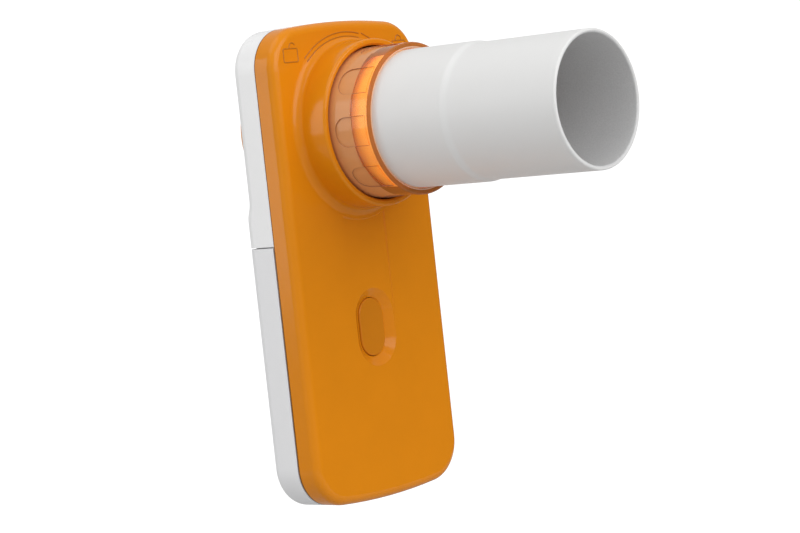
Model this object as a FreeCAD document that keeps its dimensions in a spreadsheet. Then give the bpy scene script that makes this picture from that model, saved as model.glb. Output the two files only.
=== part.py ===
"""Pocket spirometer: a flat two-tone casing, a bayonet turbine and a push-in mouthpiece.

Millimetres, +Z up, the front faces -Y. Heights count up from the bottom edge of the casing and
depths count forward from its flat back, so a depth is -Y. The turbine's pieces count their heights
from the airway axis. Every piece is then set on the point of the back that the hand holds.
"""

import FreeCAD
import Part
import Sketcher
import math
import os
from FreeCAD import Placement, Rotation, Vector

# Driving dimensions, each with its meaning. Angles are in degrees.
SIZES = [
    ("body_width", 49.0, "casing, side to side"),
    ("crown_margin", 0.9, "flat face between the collar's root and the rounded top edge"),
    ("corner_radius", 9.5, "casing corners seen from the front"),
    ("crown_radius", 170.0, "gentle arch of the top and bottom edges"),
    ("wall", 1.3, "moulded walls of the casing"),
    ("face_depth", 14.1, "front face in front of the flat back"),
    ("parting_depth", 8.3, "line where the two colours meet"),
    ("face_rounding", 2.0, "edge of the front face"),
    ("back_rounding", 2.4, "edge of the back"),
    ("back_step", 1.0, "upper back stands this far forward of the battery cover"),
    ("step_rise", 6.0, "flush strip above the seam, before the step"),
    ("step_length", 5.0, "soft slope of the step"),
    ("inner_depth", 2.5, "inner face of the back shell"),
    ("seam_margin", 3.8, "seam between back shell and battery cover, above the battery bay"),
    ("seam_gap", 0.3, "gap at that seam"),
    ("tongue_reach", 1.2, "locating tongue of the back shell into the front cover"),
    ("tongue_wall", 0.6, "thickness of the tongue"),
    ("fit_gap", 0.15, "gap between pieces that locate each other"),
    ("slide_gap", 0.3, "gap round pieces that slide or turn"),
    ("grip_height", 35.0, "height of the point that the hand holds"),
    ("tunnel_margin", 6.3, "collar and tunnel above the seam"),
    ("collar_reach", 8.4, "collar in front of the face"),
    ("collar_radius", 18.9, "outside of the collar and of the tunnel behind it"),
    ("collar_blend", 2.0, "soft root of the collar"),
    ("lip_rounding", 0.6, "outer edge of the collar's lip"),
    ("lip_bevel", 0.4, "inner edge of that lip"),
    ("ring_gap", 0.4, "gap between collar and turbine"),
    ("tunnel_shoulder", 12.6, "depth where the tunnel narrows"),
    ("channel_width", 13.6, "floor of the shallow channel from collar to key"),
    ("channel_sink", 0.6, "depth of that channel at the collar"),
    ("channel_slope", 40.0, "slope of its sides"),
    ("key_height", 39.1, "middle of the key"),
    ("dish_width", 13.0, "dish round the key"),
    ("dish_length", 18.0, "dish round the key"),
    ("dish_sink", 1.5, "depth of the dish"),
    ("key_width", 8.1, "key"),
    ("key_length", 13.3, "key"),
    ("key_proud", 0.35, "key above the floor of the dish"),
    ("key_flange", 1.1, "rim that holds the key behind the cover"),
    ("key_rounding", 0.3, "edge of the key"),
    ("key_travel", 0.35, "press of the key"),
    ("flange_wall", 0.8, "thickness of that rim"),
    ("board_front", 8.4, "depth of the circuit board's front face"),
    ("board_wall", 1.0, "thickness of the circuit board"),
    ("leg_foot", 11.0, "height of the foot of the circuit board's leg"),
    ("board_margin", 1.2, "circuit board inside the casing's walls"),
    ("board_rise", 11.8, "board's arms above the airway axis"),
    ("screw_low", 16.0, "height of the lower screw"),
    ("screw_margin", 5.5, "upper screw below the seam"),
    ("screw_radius", 1.0, "casing screws"),
    ("screw_head", 1.9, "radius of their heads"),
    ("screw_head_height", 1.2, "height of their heads"),
    ("screw_seat", 3.2, "depth of the heads' seats"),
    ("screw_slot_length", 2.4, "slot of a screw's head"),
    ("screw_slot_width", 0.5, "slot of a screw's head"),
    ("screw_slot_sink", 0.6, "depth of that slot"),
    ("screw_length", 9.0, "casing screws, under the head"),
    ("boss_wall", 1.4, "wall round the screws"),
    ("switch_size", 6.0, "switch, square"),
    ("switch_reach", 1.4, "height of the switch on the board"),
    ("plunger_radius", 1.2, "plunger of the switch"),
    ("plunger_socket", 0.8, "well of the plunger"),
    ("chip_size", 6.0, "processor, square"),
    ("module_width", 9.0, "radio module"),
    ("module_length", 12.0, "radio module"),
    ("chip_height", 29.0, "middle of the processor above the bottom edge"),
    ("module_margin", 1.7, "radio module below the post of the upper screw"),
    ("module_reach", 1.8, "height of the radio module on the board"),
    ("crystal_height", 22.5, "middle of the quartz crystal"),
    ("crystal_length", 4.6, "quartz crystal"),
    ("crystal_width", 2.4, "quartz crystal"),
    ("capacitor_width", 0.8, "small capacitors"),
    ("capacitor_length", 1.6, "small capacitors"),
    ("capacitor_reach", 0.8, "height of the capacitors on the board"),
    ("capacitor_pitch", 2.4, "from capacitor to capacitor"),
    ("capacitor_gap", 0.6, "between the processor and the capacitors"),
    ("part_bevel", 0.15, "bevel of the parts on the board"),
    ("part_reach", 1.2, "height of the parts on the board"),
    ("beam_depth", 5.0, "depth where the infrared beam crosses the airway"),
    ("eye_size", 3.2, "windows of the beam, square"),
    ("lamp_width", 4.4, "infrared parts, up the tunnel wall"),
    ("lens_radius", 0.9, "lens of an infrared part"),
    ("lamp_wall", 1.2, "infrared parts, away from the tunnel"),
    ("cell_radius", 5.25, "AAA cell"),
    ("cell_length", 44.5, "AAA cell with its nub"),
    ("cell_bevel", 0.4, "rolled edges of a cell"),
    ("nub_radius", 1.9, "nub of a cell"),
    ("nub_length", 1.0, "nub of a cell"),
    ("cell_gap", 0.2, "gap round a cell"),
    ("cover_wall", 1.1, "back wall of the battery cover"),
    ("trough_foot", 8.9, "height of the cells' lower limit"),
    ("bay_foot", 5.6, "lower end of the contact bay below the cells"),
    ("contact_wall", 0.3, "sheet of the contacts"),
    ("contact_width", 6.4, "contacts, front to back"),
    ("contact_rise", 2.0, "leaf under a cell's nub"),
    ("spring_length", 3.5, "contact springs with the cells in"),
    ("spring_radius", 3.0, "contact springs"),
    ("spring_turns", 3, "turns of a contact spring"),
    ("spring_wire", 0.35, "radius of the springs' wire"),
    ("rib_reach", 0.7, "hooks of the battery cover"),
    ("rib_width", 1.5, "hooks of the battery cover, front to back"),
    ("thumb_height", 15.0, "middle of the thumb grip on the battery cover"),
    ("thumb_ridges", 5, "grooves of the thumb grip"),
    ("thumb_pitch", 2.4, "from groove to groove"),
    ("thumb_width", 16.0, "length of a groove"),
    ("thumb_groove", 1.2, "width of a groove"),
    ("thumb_sink", 0.4, "depth of a groove"),
    ("grip_radius", 17.0, "turbine, front ring"),
    ("barrel_radius", 16.0, "turbine, part inside the casing"),
    ("grip_front", 33.4, "depth of the turbine's front end"),
    ("rear_reach", 6.5, "turbine behind the flat back"),
    ("socket_sink", 6.8, "socket for the mouthpiece"),
    ("mouth_gap", 0.15, "gap round the mouthpiece in its socket"),
    ("front_bore", 15.0, "bore that takes the swirlers"),
    ("airway_radius", 14.2, "bore round the rotor"),
    ("front_seat", 11.0, "depth of the front swirler's seat"),
    ("rear_seat", -1.0, "depth of the rear swirler's seat"),
    ("rim_bevel", 0.3, "edges of the turbine tube"),
    ("pad_count", 9, "thumb pads round the turbine"),
    ("pad_angle", 22.5, "width of a pad"),
    ("pad_start", 1.0, "pad behind the turbine's front end"),
    ("pad_length", 8.8, "length of a pad"),
    ("pad_sink", 0.25, "depth of a pad"),
    ("pad_end_radius", 2.8, "round end of a pad"),
    ("pad_turn", 25.2, "turn of the pads from the horizontal"),
    ("lug_count", 3, "bayonet lugs"),
    ("lug_angle", 18.0, "width of a bayonet lug"),
    ("lug_reach", 1.2, "height of a lug"),
    ("lug_width", 2.0, "lug along the axis"),
    ("lug_depth", 8.9, "middle of the lugs"),
    ("lug_gap_angle", 1.2, "angular gap of a lug in its slot"),
    ("twist_angle", 60.0, "turn from locked to free"),
    ("ring_wall", 1.0, "outer ring of a swirler"),
    ("swirl_length", 5.0, "front swirler along the axis"),
    ("rear_swirl_length", 4.0, "rear swirler along the axis"),
    ("swirl_count", 6, "vanes of a swirler"),
    ("swirl_wall", 0.7, "thickness of a swirler's vane"),
    ("swirl_root_lean", 1.2, "sideways lean of a vane at the hub"),
    ("swirl_tip_lean", 5.0, "sideways lean of a vane at the ring"),
    ("swirl_inset", 0.45, "vanes behind the ends of the ring"),
    ("swirl_bite", 0.3, "vane ends sunk into hub and ring"),
    ("hub_radius", 2.6, "hub of a swirler"),
    ("nose_length", 1.4, "tapered nose of a hub"),
    ("nose_radius", 1.3, "blunt tip of that nose"),
    ("bush_radius", 1.2, "pivot bearing"),
    ("bush_length", 1.8, "pivot bearing"),
    ("shaft_radius", 0.5, "rotor shaft"),
    ("shaft_gap", 0.05, "running gap of the shaft in its bearings"),
    ("end_float", 0.2, "end float of the rotor shaft"),
    ("vane_margin", 1.2, "vane tips inside the bore round the rotor"),
    ("vane_length", 8.6, "rotor vane along the axis"),
    ("vane_wall", 0.4, "thickness of the rotor vane"),
    ("vane_sleeve", 0.6, "wall of the sleeve on the shaft"),
    ("mouth_radius", 15.0, "mouthpiece at the lips"),
    ("mouth_seat_radius", 15.4, "mouthpiece at the turbine"),
    ("mouth_wall", 0.97, "mouthpiece wall"),
    ("mouth_length", 56.2, "mouthpiece"),
    ("mouth_insertion", 6.5, "mouthpiece inside the turbine"),
    ("mouth_step", 25.2, "from the inner end to the step"),
    ("step_taper", 2.4, "length of the step"),
    ("mouth_bevel", 0.3, "rim of the mouthpiece"),
]

# Sizes that follow from the driving ones, as expressions.
HALF_WIDTH = "Sizes.body_width / 2"
FACE = "Sizes.face_depth"
PARTING = "Sizes.parting_depth"
INNER_FACE = "(Sizes.face_depth - Sizes.wall)"
LIP = "(Sizes.face_depth + Sizes.collar_reach)"
COLLAR_FOOT = "(Sizes.collar_radius + Sizes.collar_blend + Sizes.fit_gap)"
COLLAR_BORE = "(Sizes.grip_radius + Sizes.ring_gap)"
TUNNEL_BORE = "(Sizes.barrel_radius + Sizes.slide_gap)"
TUNNEL_BACK = "(Sizes.inner_depth + Sizes.fit_gap)"
SLOT_RADIUS = "(Sizes.barrel_radius + Sizes.lug_reach + Sizes.slide_gap)"
BOARD_BACK = "(Sizes.board_front - Sizes.board_wall)"
DISH_FLOOR = "(Sizes.face_depth - Sizes.dish_sink)"
DISH_BACK = "(Sizes.face_depth - Sizes.dish_sink - Sizes.wall)"
KEY_FRONT = "(Sizes.face_depth - Sizes.dish_sink + Sizes.key_proud)"
KEY_BACK = "(Sizes.face_depth - Sizes.dish_sink - Sizes.wall - Sizes.fit_gap - Sizes.flange_wall)"
SCREW_SEAT = "Sizes.screw_seat"
SCREW_TIP = "(Sizes.screw_seat + Sizes.screw_length)"
RIB_BACK = "(Sizes.parting_depth - Sizes.slide_gap - Sizes.rib_width)"
TRAY_INSET = "(Sizes.wall + Sizes.slide_gap)"
TRAY_BACK = "(Sizes.cover_wall + Sizes.slide_gap)"
TRAY_FRONT = "(Sizes.face_depth - Sizes.wall - Sizes.fit_gap)"
TROUGH_HALF = "(Sizes.cell_radius + Sizes.cell_gap)"
CELL_OFFSET = f"({HALF_WIDTH} - {TRAY_INSET} - Sizes.wall - Sizes.fit_gap - {TROUGH_HALF})"
CELL_DEPTH = "(Sizes.cover_wall + Sizes.cell_gap + Sizes.cell_radius)"
TROUGH_FLOOR = "(Sizes.cover_wall + 2 * Sizes.cell_gap + 2 * Sizes.cell_radius)"
SPINE_HALF = f"({CELL_OFFSET} - {TROUGH_HALF} - Sizes.wall)"

# The cells, their contacts and the turbine set the heights, from the bottom edge up.
CELL_STACK = "(2 * Sizes.contact_wall + Sizes.contact_rise + Sizes.cell_length + Sizes.spring_length)"
TROUGH_TOP = f"(Sizes.bay_foot + {CELL_STACK})"
SEAM = f"({TROUGH_TOP} + Sizes.seam_margin)"
SKIN_FOOT = f"({SEAM} + Sizes.seam_gap)"
TRAY_TOP = f"({SKIN_FOOT} + Sizes.wall)"
BOARD_SHOULDER = f"({TRAY_TOP} + 2 * Sizes.slide_gap)"
UPPER_SCREW = f"({SEAM} - Sizes.screw_margin)"
SCREWS = (("Low", "Sizes.screw_low"), ("High", UPPER_SCREW))
MODULE_TOP = f"({UPPER_SCREW} - Sizes.screw_head - Sizes.boss_wall - Sizes.module_margin)"
AXIS = f"({SEAM} + Sizes.tunnel_margin + Sizes.collar_radius)"
COLLAR_ROOM = "(Sizes.collar_radius + Sizes.collar_blend + Sizes.crown_margin + Sizes.face_rounding)"
BODY_HEIGHT = f"({AXIS} + {COLLAR_ROOM})"
SOCKET_RADIUS = "(Sizes.mouth_seat_radius + Sizes.mouth_gap)"
SOCKET_FLOOR = "(Sizes.grip_front - Sizes.socket_sink)"
MOUTH_START = "(Sizes.grip_front - Sizes.mouth_insertion)"
MOUTH_END = "(Sizes.grip_front - Sizes.mouth_insertion + Sizes.mouth_length)"
BAY_HALF = f"({CELL_OFFSET} + Sizes.spring_radius + Sizes.spring_wire + Sizes.slide_gap)"

# Cuts run this far past the open side of what they cut, and this far into each other where they meet.
CUT_MARGIN = "1"
OVERLAP = "0.1"
# Lengths that differ by less than this are equal.
CLOSE = 1e-4
CAPACITOR_COUNT = 4

doc = FreeCAD.newDocument("spirometer")
sheet = doc.addObject("Spreadsheet::Sheet", "Sizes")
for row, (alias, amount, meaning) in enumerate(SIZES, start=1):
    sheet.set(f"A{row}", alias)
    sheet.set(f"B{row}", str(amount))
    sheet.set(f"C{row}", meaning)
    sheet.setAlias(f"B{row}", alias)
doc.recompute()


def number(expression):
    """Present value of an expression on the sheet."""
    return float(sheet.evalExpression(str(expression)))


def new_body(label):
    body = doc.addObject("PartDesign::Body", label)
    body.Label = label
    return body


def own(body, role):
    """One of the body's own origin planes or axes."""
    return next(item for item in body.Origin.OriginFeatures if item.Role == role)


def new_sketch(body, name, role, shift, turn="0"):
    """Sketch on an origin plane, shifted within it and along its normal, and turned about its own X."""
    sketch = body.newObject("Sketcher::SketchObject", name)
    sketch.AttachmentSupport = (own(body, role), [""])
    sketch.MapMode = "FlatFace"
    sketch.AttachmentOffset = Placement(Vector(), Rotation(Vector(1, 0, 0), 0))
    for axis, expression in zip("xyz", shift):
        sketch.setExpression(f".AttachmentOffset.Base.{axis}", expression)
    sketch.setExpression(".AttachmentOffset.Rotation.Angle", turn)
    return sketch


def facing(body, name, depth):
    """Sketch that faces forward at a depth: across is X and up is the height."""
    return new_sketch(body, name, "XZ_Plane", ("0", "0", depth))


def section(body, name, height="0", turn="0"):
    """Sketch through the airway axis: across is minus the depth and up is the radius."""
    return new_sketch(body, name, "YZ_Plane", ("0", height, "0"), turn)


def level(body, name, height):
    """Sketch that faces up at a height: across is X and up is minus the depth."""
    return new_sketch(body, name, "XY_Plane", ("0", "0", height))


def pin(sketch, geometry, point, across, up):
    """Fixes a point of the sketch at two expressions."""
    for kind, axis, expression in (("DistanceX", -2, across), ("DistanceY", -1, up)):
        if str(expression) == "0":
            sketch.addConstraint(Sketcher.Constraint("PointOnObject", geometry, point, axis))
            continue
        place = Sketcher.Constraint(kind, -1, 1, geometry, point, number(expression))
        index = sketch.addConstraint(place)
        sketch.setExpression(f"Constraints[{index}]", str(expression))


def size(sketch, kind, geometry, expression):
    index = sketch.addConstraint(Sketcher.Constraint(kind, geometry, number(expression)))
    sketch.setExpression(f"Constraints[{index}]", str(expression))


def polygon(sketch, corners):
    """Closed polygon with every corner at a pair of expressions."""
    points = [Vector(number(across), number(up), 0) for across, up in corners]
    first = sketch.GeometryCount
    for start, end in zip(points, points[1:] + points[:1]):
        sketch.addGeometry(Part.LineSegment(start, end), False)
    for index, (across, up) in enumerate(corners):
        following = first + (index + 1) % len(corners)
        sketch.addConstraint(Sketcher.Constraint("Coincident", first + index, 2, following, 1))
        pin(sketch, first + index, 1, across, up)
    return sketch


def rectangle(sketch, left, right, low, high):
    return polygon(sketch, [(left, low), (right, low), (right, high), (left, high)])


def circle(sketch, across, up, radius):
    centre = Vector(number(across), number(up), 0)
    index = sketch.addGeometry(Part.Circle(centre, Vector(0, 0, 1), number(radius)), False)
    pin(sketch, index, 3, across, up)
    size(sketch, "Radius", index, radius)
    return sketch


def stadium(sketch, middle, width, length):
    """Upright slot shape on the middle line: two half circles joined by straight sides."""
    radius = number(width) / 2
    half = number(length) / 2 - radius
    high = number(middle) + half
    low = number(middle) - half
    up = Vector(0, 0, 1)
    top = Part.ArcOfCircle(Part.Circle(Vector(0, high, 0), up, radius), 0, math.pi)
    left = Part.LineSegment(Vector(-radius, high, 0), Vector(-radius, low, 0))
    foot = Part.ArcOfCircle(Part.Circle(Vector(0, low, 0), up, radius), math.pi, 2 * math.pi)
    right = Part.LineSegment(Vector(radius, low, 0), Vector(radius, high, 0))
    first = sketch.GeometryCount
    for piece in (top, left, foot, right):
        sketch.addGeometry(piece, False)
    for step in range(4):
        joint = (first + step, 2, first + (step + 1) % 4, 1)
        sketch.addConstraint(Sketcher.Constraint("Tangent", *joint))
    pin(sketch, first, 3, "0", f"{middle} + ({length} - {width}) / 2")
    pin(sketch, first + 2, 3, "0", f"{middle} - ({length} - {width}) / 2")
    size(sketch, "Radius", first, f"{width} / 2")
    return sketch


def outline(sketch, inset, low=None, high=None):
    """Outline of the casing, moved in by an inset, whole or cut straight at one height.

    Upright sides, arched ends and round corners, each tangent to the next.
    """
    side = number(f"{HALF_WIDTH} - {inset}")
    corner = number("Sizes.corner_radius") - number(inset)
    crown = number("Sizes.crown_radius") - number(inset)
    corner_x = side - corner
    crown_top = number(f"{BODY_HEIGHT} - Sizes.crown_radius")
    crown_foot = number("Sizes.crown_radius")
    rise = math.sqrt((crown - corner) ** 2 - corner_x ** 2)
    lean = math.atan2(rise, corner_x)
    up = Vector(0, 0, 1)
    pieces = []
    arcs = []
    sides = []
    crowns = []

    def arc(x, z, radius, start, end):
        round_piece = Part.ArcOfCircle(Part.Circle(Vector(x, z, 0), up, radius), start, end)
        pieces.append(round_piece)
        return len(pieces) - 1

    def line(x1, z1, x2, z2):
        pieces.append(Part.LineSegment(Vector(x1, z1, 0), Vector(x2, z2, 0)))
        return len(pieces) - 1

    top_z = number(high) if high else crown_top + rise
    foot_z = number(low) if low else crown_foot - rise
    cuts = []
    sides.append(line(side, foot_z, side, top_z))
    if high:
        cuts.append((line(side, top_z, -side, top_z), high))
    else:
        arcs.append(arc(corner_x, top_z, corner, 0, lean))
        crowns.append((arc(0, crown_top, crown, lean, math.pi - lean), "top"))
        arcs.append(arc(-corner_x, top_z, corner, math.pi - lean, math.pi))
    sides.append(line(-side, top_z, -side, foot_z))
    if low:
        cuts.append((line(-side, foot_z, side, foot_z), low))
    else:
        arcs.append(arc(-corner_x, foot_z, corner, math.pi, math.pi + lean))
        crowns.append((arc(0, crown_foot, crown, math.pi + lean, 2 * math.pi - lean), "foot"))
        arcs.append(arc(corner_x, foot_z, corner, 2 * math.pi - lean, 2 * math.pi))

    for piece in pieces:
        sketch.addGeometry(piece, False)
    straight = {index for index, _ in cuts}
    for index in range(len(pieces)):
        following = (index + 1) % len(pieces)
        kind = "Coincident" if {index, following} & straight else "Tangent"
        sketch.addConstraint(Sketcher.Constraint(kind, index, 2, following, 1))
    for index, sign in zip(sides, ("", "-")):
        sketch.addConstraint(Sketcher.Constraint("Vertical", index))
        place = sketch.addConstraint(
            Sketcher.Constraint("DistanceX", -1, 1, index, 1, side if sign == "" else -side)
        )
        sketch.setExpression(f"Constraints[{place}]", f"{sign}({HALF_WIDTH} - {inset})")
    for index in arcs:
        size(sketch, "Radius", index, f"Sizes.corner_radius - {inset}")
    for index, end in crowns:
        size(sketch, "Radius", index, f"Sizes.crown_radius - {inset}")
        middle = f"{BODY_HEIGHT} - Sizes.crown_radius" if end == "top" else "Sizes.crown_radius"
        pin(sketch, index, 3, "0", middle)
    for index, height in cuts:
        sketch.addConstraint(Sketcher.Constraint("Horizontal", index))
        place = sketch.addConstraint(
            Sketcher.Constraint("DistanceY", -1, 1, index, 1, number(height))
        )
        sketch.setExpression(f"Constraints[{place}]", height)
    return sketch


def feature(body, kind, name, profile, **settings):
    """Adds a PartDesign feature and makes sure that it changed the body."""
    before = body.Shape.Volume if body.Tip else 0.0
    made = body.newObject(kind, name)
    made.Profile = profile
    for key, setting in settings.items():
        if isinstance(setting, str) and key != "Type":
            made.setExpression(key, setting)
        else:
            setattr(made, key, setting)
    doc.recompute()
    if not made.isValid() or abs(made.Shape.Volume - before) < CLOSE:
        raise ValueError(f"{name} changed nothing")
    return made


def pad(body, name, sketch, length, **settings):
    return feature(body, "PartDesign::Pad", name, sketch, Length=length, **settings)


def pocket(body, name, sketch, length, **settings):
    return feature(body, "PartDesign::Pocket", name, sketch, Length=length, **settings)


def revolve(body, name, sketch, angle="360", **settings):
    axis = (sketch, ["H_Axis"])
    kind = "PartDesign::Revolution"
    return feature(body, kind, name, sketch, ReferenceAxis=axis, Angle=angle, **settings)


def groove(body, name, sketch, angle="360", **settings):
    axis = (sketch, ["H_Axis"])
    kind = "PartDesign::Groove"
    return feature(body, kind, name, sketch, ReferenceAxis=axis, Angle=angle, **settings)


def around(body, name, originals, axis, count):
    """Copies features evenly round an axis."""
    pattern = body.newObject("PartDesign::PolarPattern", name)
    pattern.Originals = originals
    pattern.Axis = axis
    pattern.Angle = 360
    pattern.setExpression("Occurrences", count)
    body.Tip = pattern
    doc.recompute()
    return pattern


def dress(body, kind, name, base, wanted, key, amount):
    """Fillet or chamfer on the edges that a test picks."""
    picked = [
        f"Edge{index}" for index, edge in enumerate(base.Shape.Edges, start=1) if wanted(edge)
    ]
    if not picked:
        raise ValueError(f"{name} found no edge")
    made = body.newObject(kind, name)
    made.Base = (base, picked)
    made.setExpression(key, amount)
    doc.recompute()
    if not made.isValid():
        raise ValueError(f"{name} failed")
    return made


def fillet(body, name, base, wanted, radius):
    return dress(body, "PartDesign::Fillet", name, base, wanted, "Radius", radius)


def chamfer(body, name, base, wanted, width):
    return dress(body, "PartDesign::Chamfer", name, base, wanted, "Size", width)


def at_depth(depth):
    """Test for edges that lie wholly at one depth."""
    place = -number(depth)

    def wanted(edge):
        box = edge.BoundBox
        return abs(box.YMin - place) < CLOSE and abs(box.YMax - place) < CLOSE

    return wanted


def at_level(height):
    """Test for edges that lie wholly at one height."""
    place = number(height)

    def wanted(edge):
        box = edge.BoundBox
        return abs(box.ZMin - place) < CLOSE and abs(box.ZMax - place) < CLOSE

    return wanted


def hoop(radius, depth):
    """Test for round edges of one radius at one depth."""
    flat = at_depth(depth)
    wide = number(radius)

    def wanted(edge):
        return flat(edge) and hasattr(edge.Curve, "Radius") and abs(edge.Curve.Radius - wide) < CLOSE

    return wanted


def either(*tests):
    return lambda edge: any(test(edge) for test in tests)


def lathe(sketch, profile):
    """Profile of a turned piece from pairs of depth and radius."""
    return polygon(sketch, [(f"-({depth})", radius) for depth, radius in profile])


def front_cover():
    """Coloured front shell, in one piece with the collar and the tunnel that takes the turbine."""
    body = new_body("front_cover")
    front = outline(facing(body, "CoverOutline", PARTING), "0")
    block = pad(body, "CoverBlock", front, f"{FACE} - {PARTING}")
    fillet(body, "FaceRounding", block, at_depth(FACE), "Sizes.face_rounding")
    cavity = outline(facing(body, "CavityOutline", PARTING), "Sizes.wall")
    pocket(body, "CoverCavity", cavity, f"{INNER_FACE} - {PARTING}", Reversed=True)
    rebate_foot = f"({SKIN_FOOT} - Sizes.fit_gap)"
    rebate_inset = "(Sizes.wall - Sizes.tongue_wall - Sizes.fit_gap)"
    rebate = outline(facing(body, "RebateOutline", PARTING), rebate_inset, low=rebate_foot)
    pocket(body, "TongueRebate", rebate, "Sizes.tongue_reach + Sizes.fit_gap", Reversed=True)

    # The dish stands proud inside, so that its wall stays even.
    boss = stadium(
        facing(body, "DishBossOutline", DISH_BACK),
        "Sizes.key_height",
        "(Sizes.dish_width + 2 * Sizes.wall)",
        "(Sizes.dish_length + 2 * Sizes.wall)",
    )
    pad(body, "DishBoss", boss, f"{INNER_FACE} - {DISH_BACK}")
    for name, height in SCREWS:
        post = facing(body, f"{name}BossOutline", "Sizes.board_front")
        circle(post, "0", height, "(Sizes.screw_radius + Sizes.boss_wall)")
        pad(body, f"{name}Boss", post, f"{INNER_FACE} - Sizes.board_front")

    ring = section(body, "TunnelRing", AXIS)
    ring_profile = [
        (LIP, TUNNEL_BORE),
        (LIP, "Sizes.collar_radius"),
        (TUNNEL_BACK, "Sizes.collar_radius"),
        (TUNNEL_BACK, TUNNEL_BORE),
    ]
    tube = revolve(body, "Tunnel", lathe(ring, ring_profile))
    fillet(body, "CollarRoot", tube, hoop("Sizes.collar_radius", FACE), "Sizes.collar_blend")
    bore = section(body, "BoreProfile", AXIS)
    bore_profile = [
        (f"{LIP} + {CUT_MARGIN}", "0"),
        (f"{LIP} + {CUT_MARGIN}", COLLAR_BORE),
        ("Sizes.tunnel_shoulder", COLLAR_BORE),
        ("Sizes.tunnel_shoulder", TUNNEL_BORE),
        (f"{TUNNEL_BACK} - {CUT_MARGIN}", TUNNEL_BORE),
        (f"{TUNNEL_BACK} - {CUT_MARGIN}", "0"),
    ]
    bored = groove(body, "Bore", lathe(bore, bore_profile))
    rounded = fillet(
        body, "CollarLip", bored, hoop("Sizes.collar_radius", LIP), "Sizes.lip_rounding"
    )
    chamfer(body, "CollarEntry", rounded, hoop(COLLAR_BORE, LIP), "Sizes.lip_bevel")

    # The channel is deepest at the collar and fades out beside the lower end of the dish.
    foot = "(Sizes.key_height - Sizes.dish_length / 2 + Sizes.dish_width / 2)"
    rise = f"({AXIS} - {foot})"
    tilt = f"-atan(Sizes.channel_sink / {rise})"
    channel = new_sketch(body, "ChannelFloor", "XZ_Plane", ("0", foot, FACE), tilt)
    arc_radius = f"({COLLAR_FOOT} + Sizes.channel_sink * tan(Sizes.channel_slope))"
    keyhole(channel, "Sizes.channel_width", rise, arc_radius)
    above = f"Sizes.channel_sink + {CUT_MARGIN}"
    pocket(body, "Channel", channel, above, TaperAngle="Sizes.channel_slope", Reversed=True)
    rim = stadium(
        facing(body, "DishRim", FACE),
        "Sizes.key_height",
        "Sizes.dish_width",
        "Sizes.dish_length",
    )
    floor = stadium(
        facing(body, "DishFloor", DISH_FLOOR),
        "Sizes.key_height",
        "(Sizes.key_width + 2 * Sizes.slide_gap)",
        "(Sizes.key_length + 2 * Sizes.slide_gap)",
    )
    feature(body, "PartDesign::SubtractiveLoft", "Dish", rim, Sections=[floor])
    window = stadium(
        facing(body, "WindowOutline", f"{DISH_FLOOR} + Sizes.fit_gap"),
        "Sizes.key_height",
        "(Sizes.key_width + 2 * Sizes.fit_gap)",
        "(Sizes.key_length + 2 * Sizes.fit_gap)",
    )
    pocket(body, "KeyWindow", window, "Sizes.wall + 2 * Sizes.fit_gap")

    # Each lug enters by an open slot and turns into a closed one.
    slot_front = "(Sizes.lug_depth + Sizes.lug_width / 2 + Sizes.slide_gap)"
    slot_back = "(Sizes.lug_depth - Sizes.lug_width / 2 - Sizes.slide_gap)"
    lug_room = "(Sizes.lug_angle + 2 * Sizes.lug_gap_angle)"
    turned = section(body, "TurnSlotProfile", AXIS, "-(Sizes.twist_angle / 2)")
    lathe(turned, slot_profile(slot_front, slot_back))
    turn_slot = groove(body, "TurnSlot", turned, f"{lug_room} + Sizes.twist_angle", Midplane=True)
    around(body, "TurnSlots", [turn_slot], (turned, ["H_Axis"]), "Sizes.lug_count")
    entry = section(body, "EntrySlotProfile", AXIS, "-Sizes.twist_angle")
    lathe(entry, slot_profile(f"(Sizes.tunnel_shoulder + {CUT_MARGIN})", slot_back))
    entry_slot = groove(body, "EntrySlot", entry, lug_room, Midplane=True)
    around(body, "EntrySlots", [entry_slot], (entry, ["H_Axis"]), "Sizes.lug_count")

    # The infrared beam passes through a window on each side.
    eyes = new_sketch(body, "BeamWindows", "YZ_Plane", ("0", AXIS, "0"))
    rectangle(
        eyes,
        "-(Sizes.beam_depth + Sizes.eye_size / 2)",
        "-(Sizes.beam_depth - Sizes.eye_size / 2)",
        "-Sizes.eye_size / 2",
        "Sizes.eye_size / 2",
    )
    pocket(body, "BeamPath", eyes, "2 * (Sizes.collar_radius + Sizes.fit_gap)", Midplane=True)
    pilot_depth = f"{SCREW_TIP} + Sizes.slide_gap - Sizes.board_front"
    for name, height in SCREWS:
        hole = facing(body, f"{name}PilotOutline", "Sizes.board_front")
        circle(hole, "0", height, "(Sizes.screw_radius + Sizes.shaft_gap)")
        pocket(body, f"{name}Pilot", hole, pilot_depth, Reversed=True)
    return body


def slot_profile(front, back):
    """Section of a bayonet slot, cut from the tunnel's bore outwards."""
    inside = "(Sizes.barrel_radius - Sizes.slide_gap)"
    return [(front, inside), (front, SLOT_RADIUS), (back, SLOT_RADIUS), (back, inside)]


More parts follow.
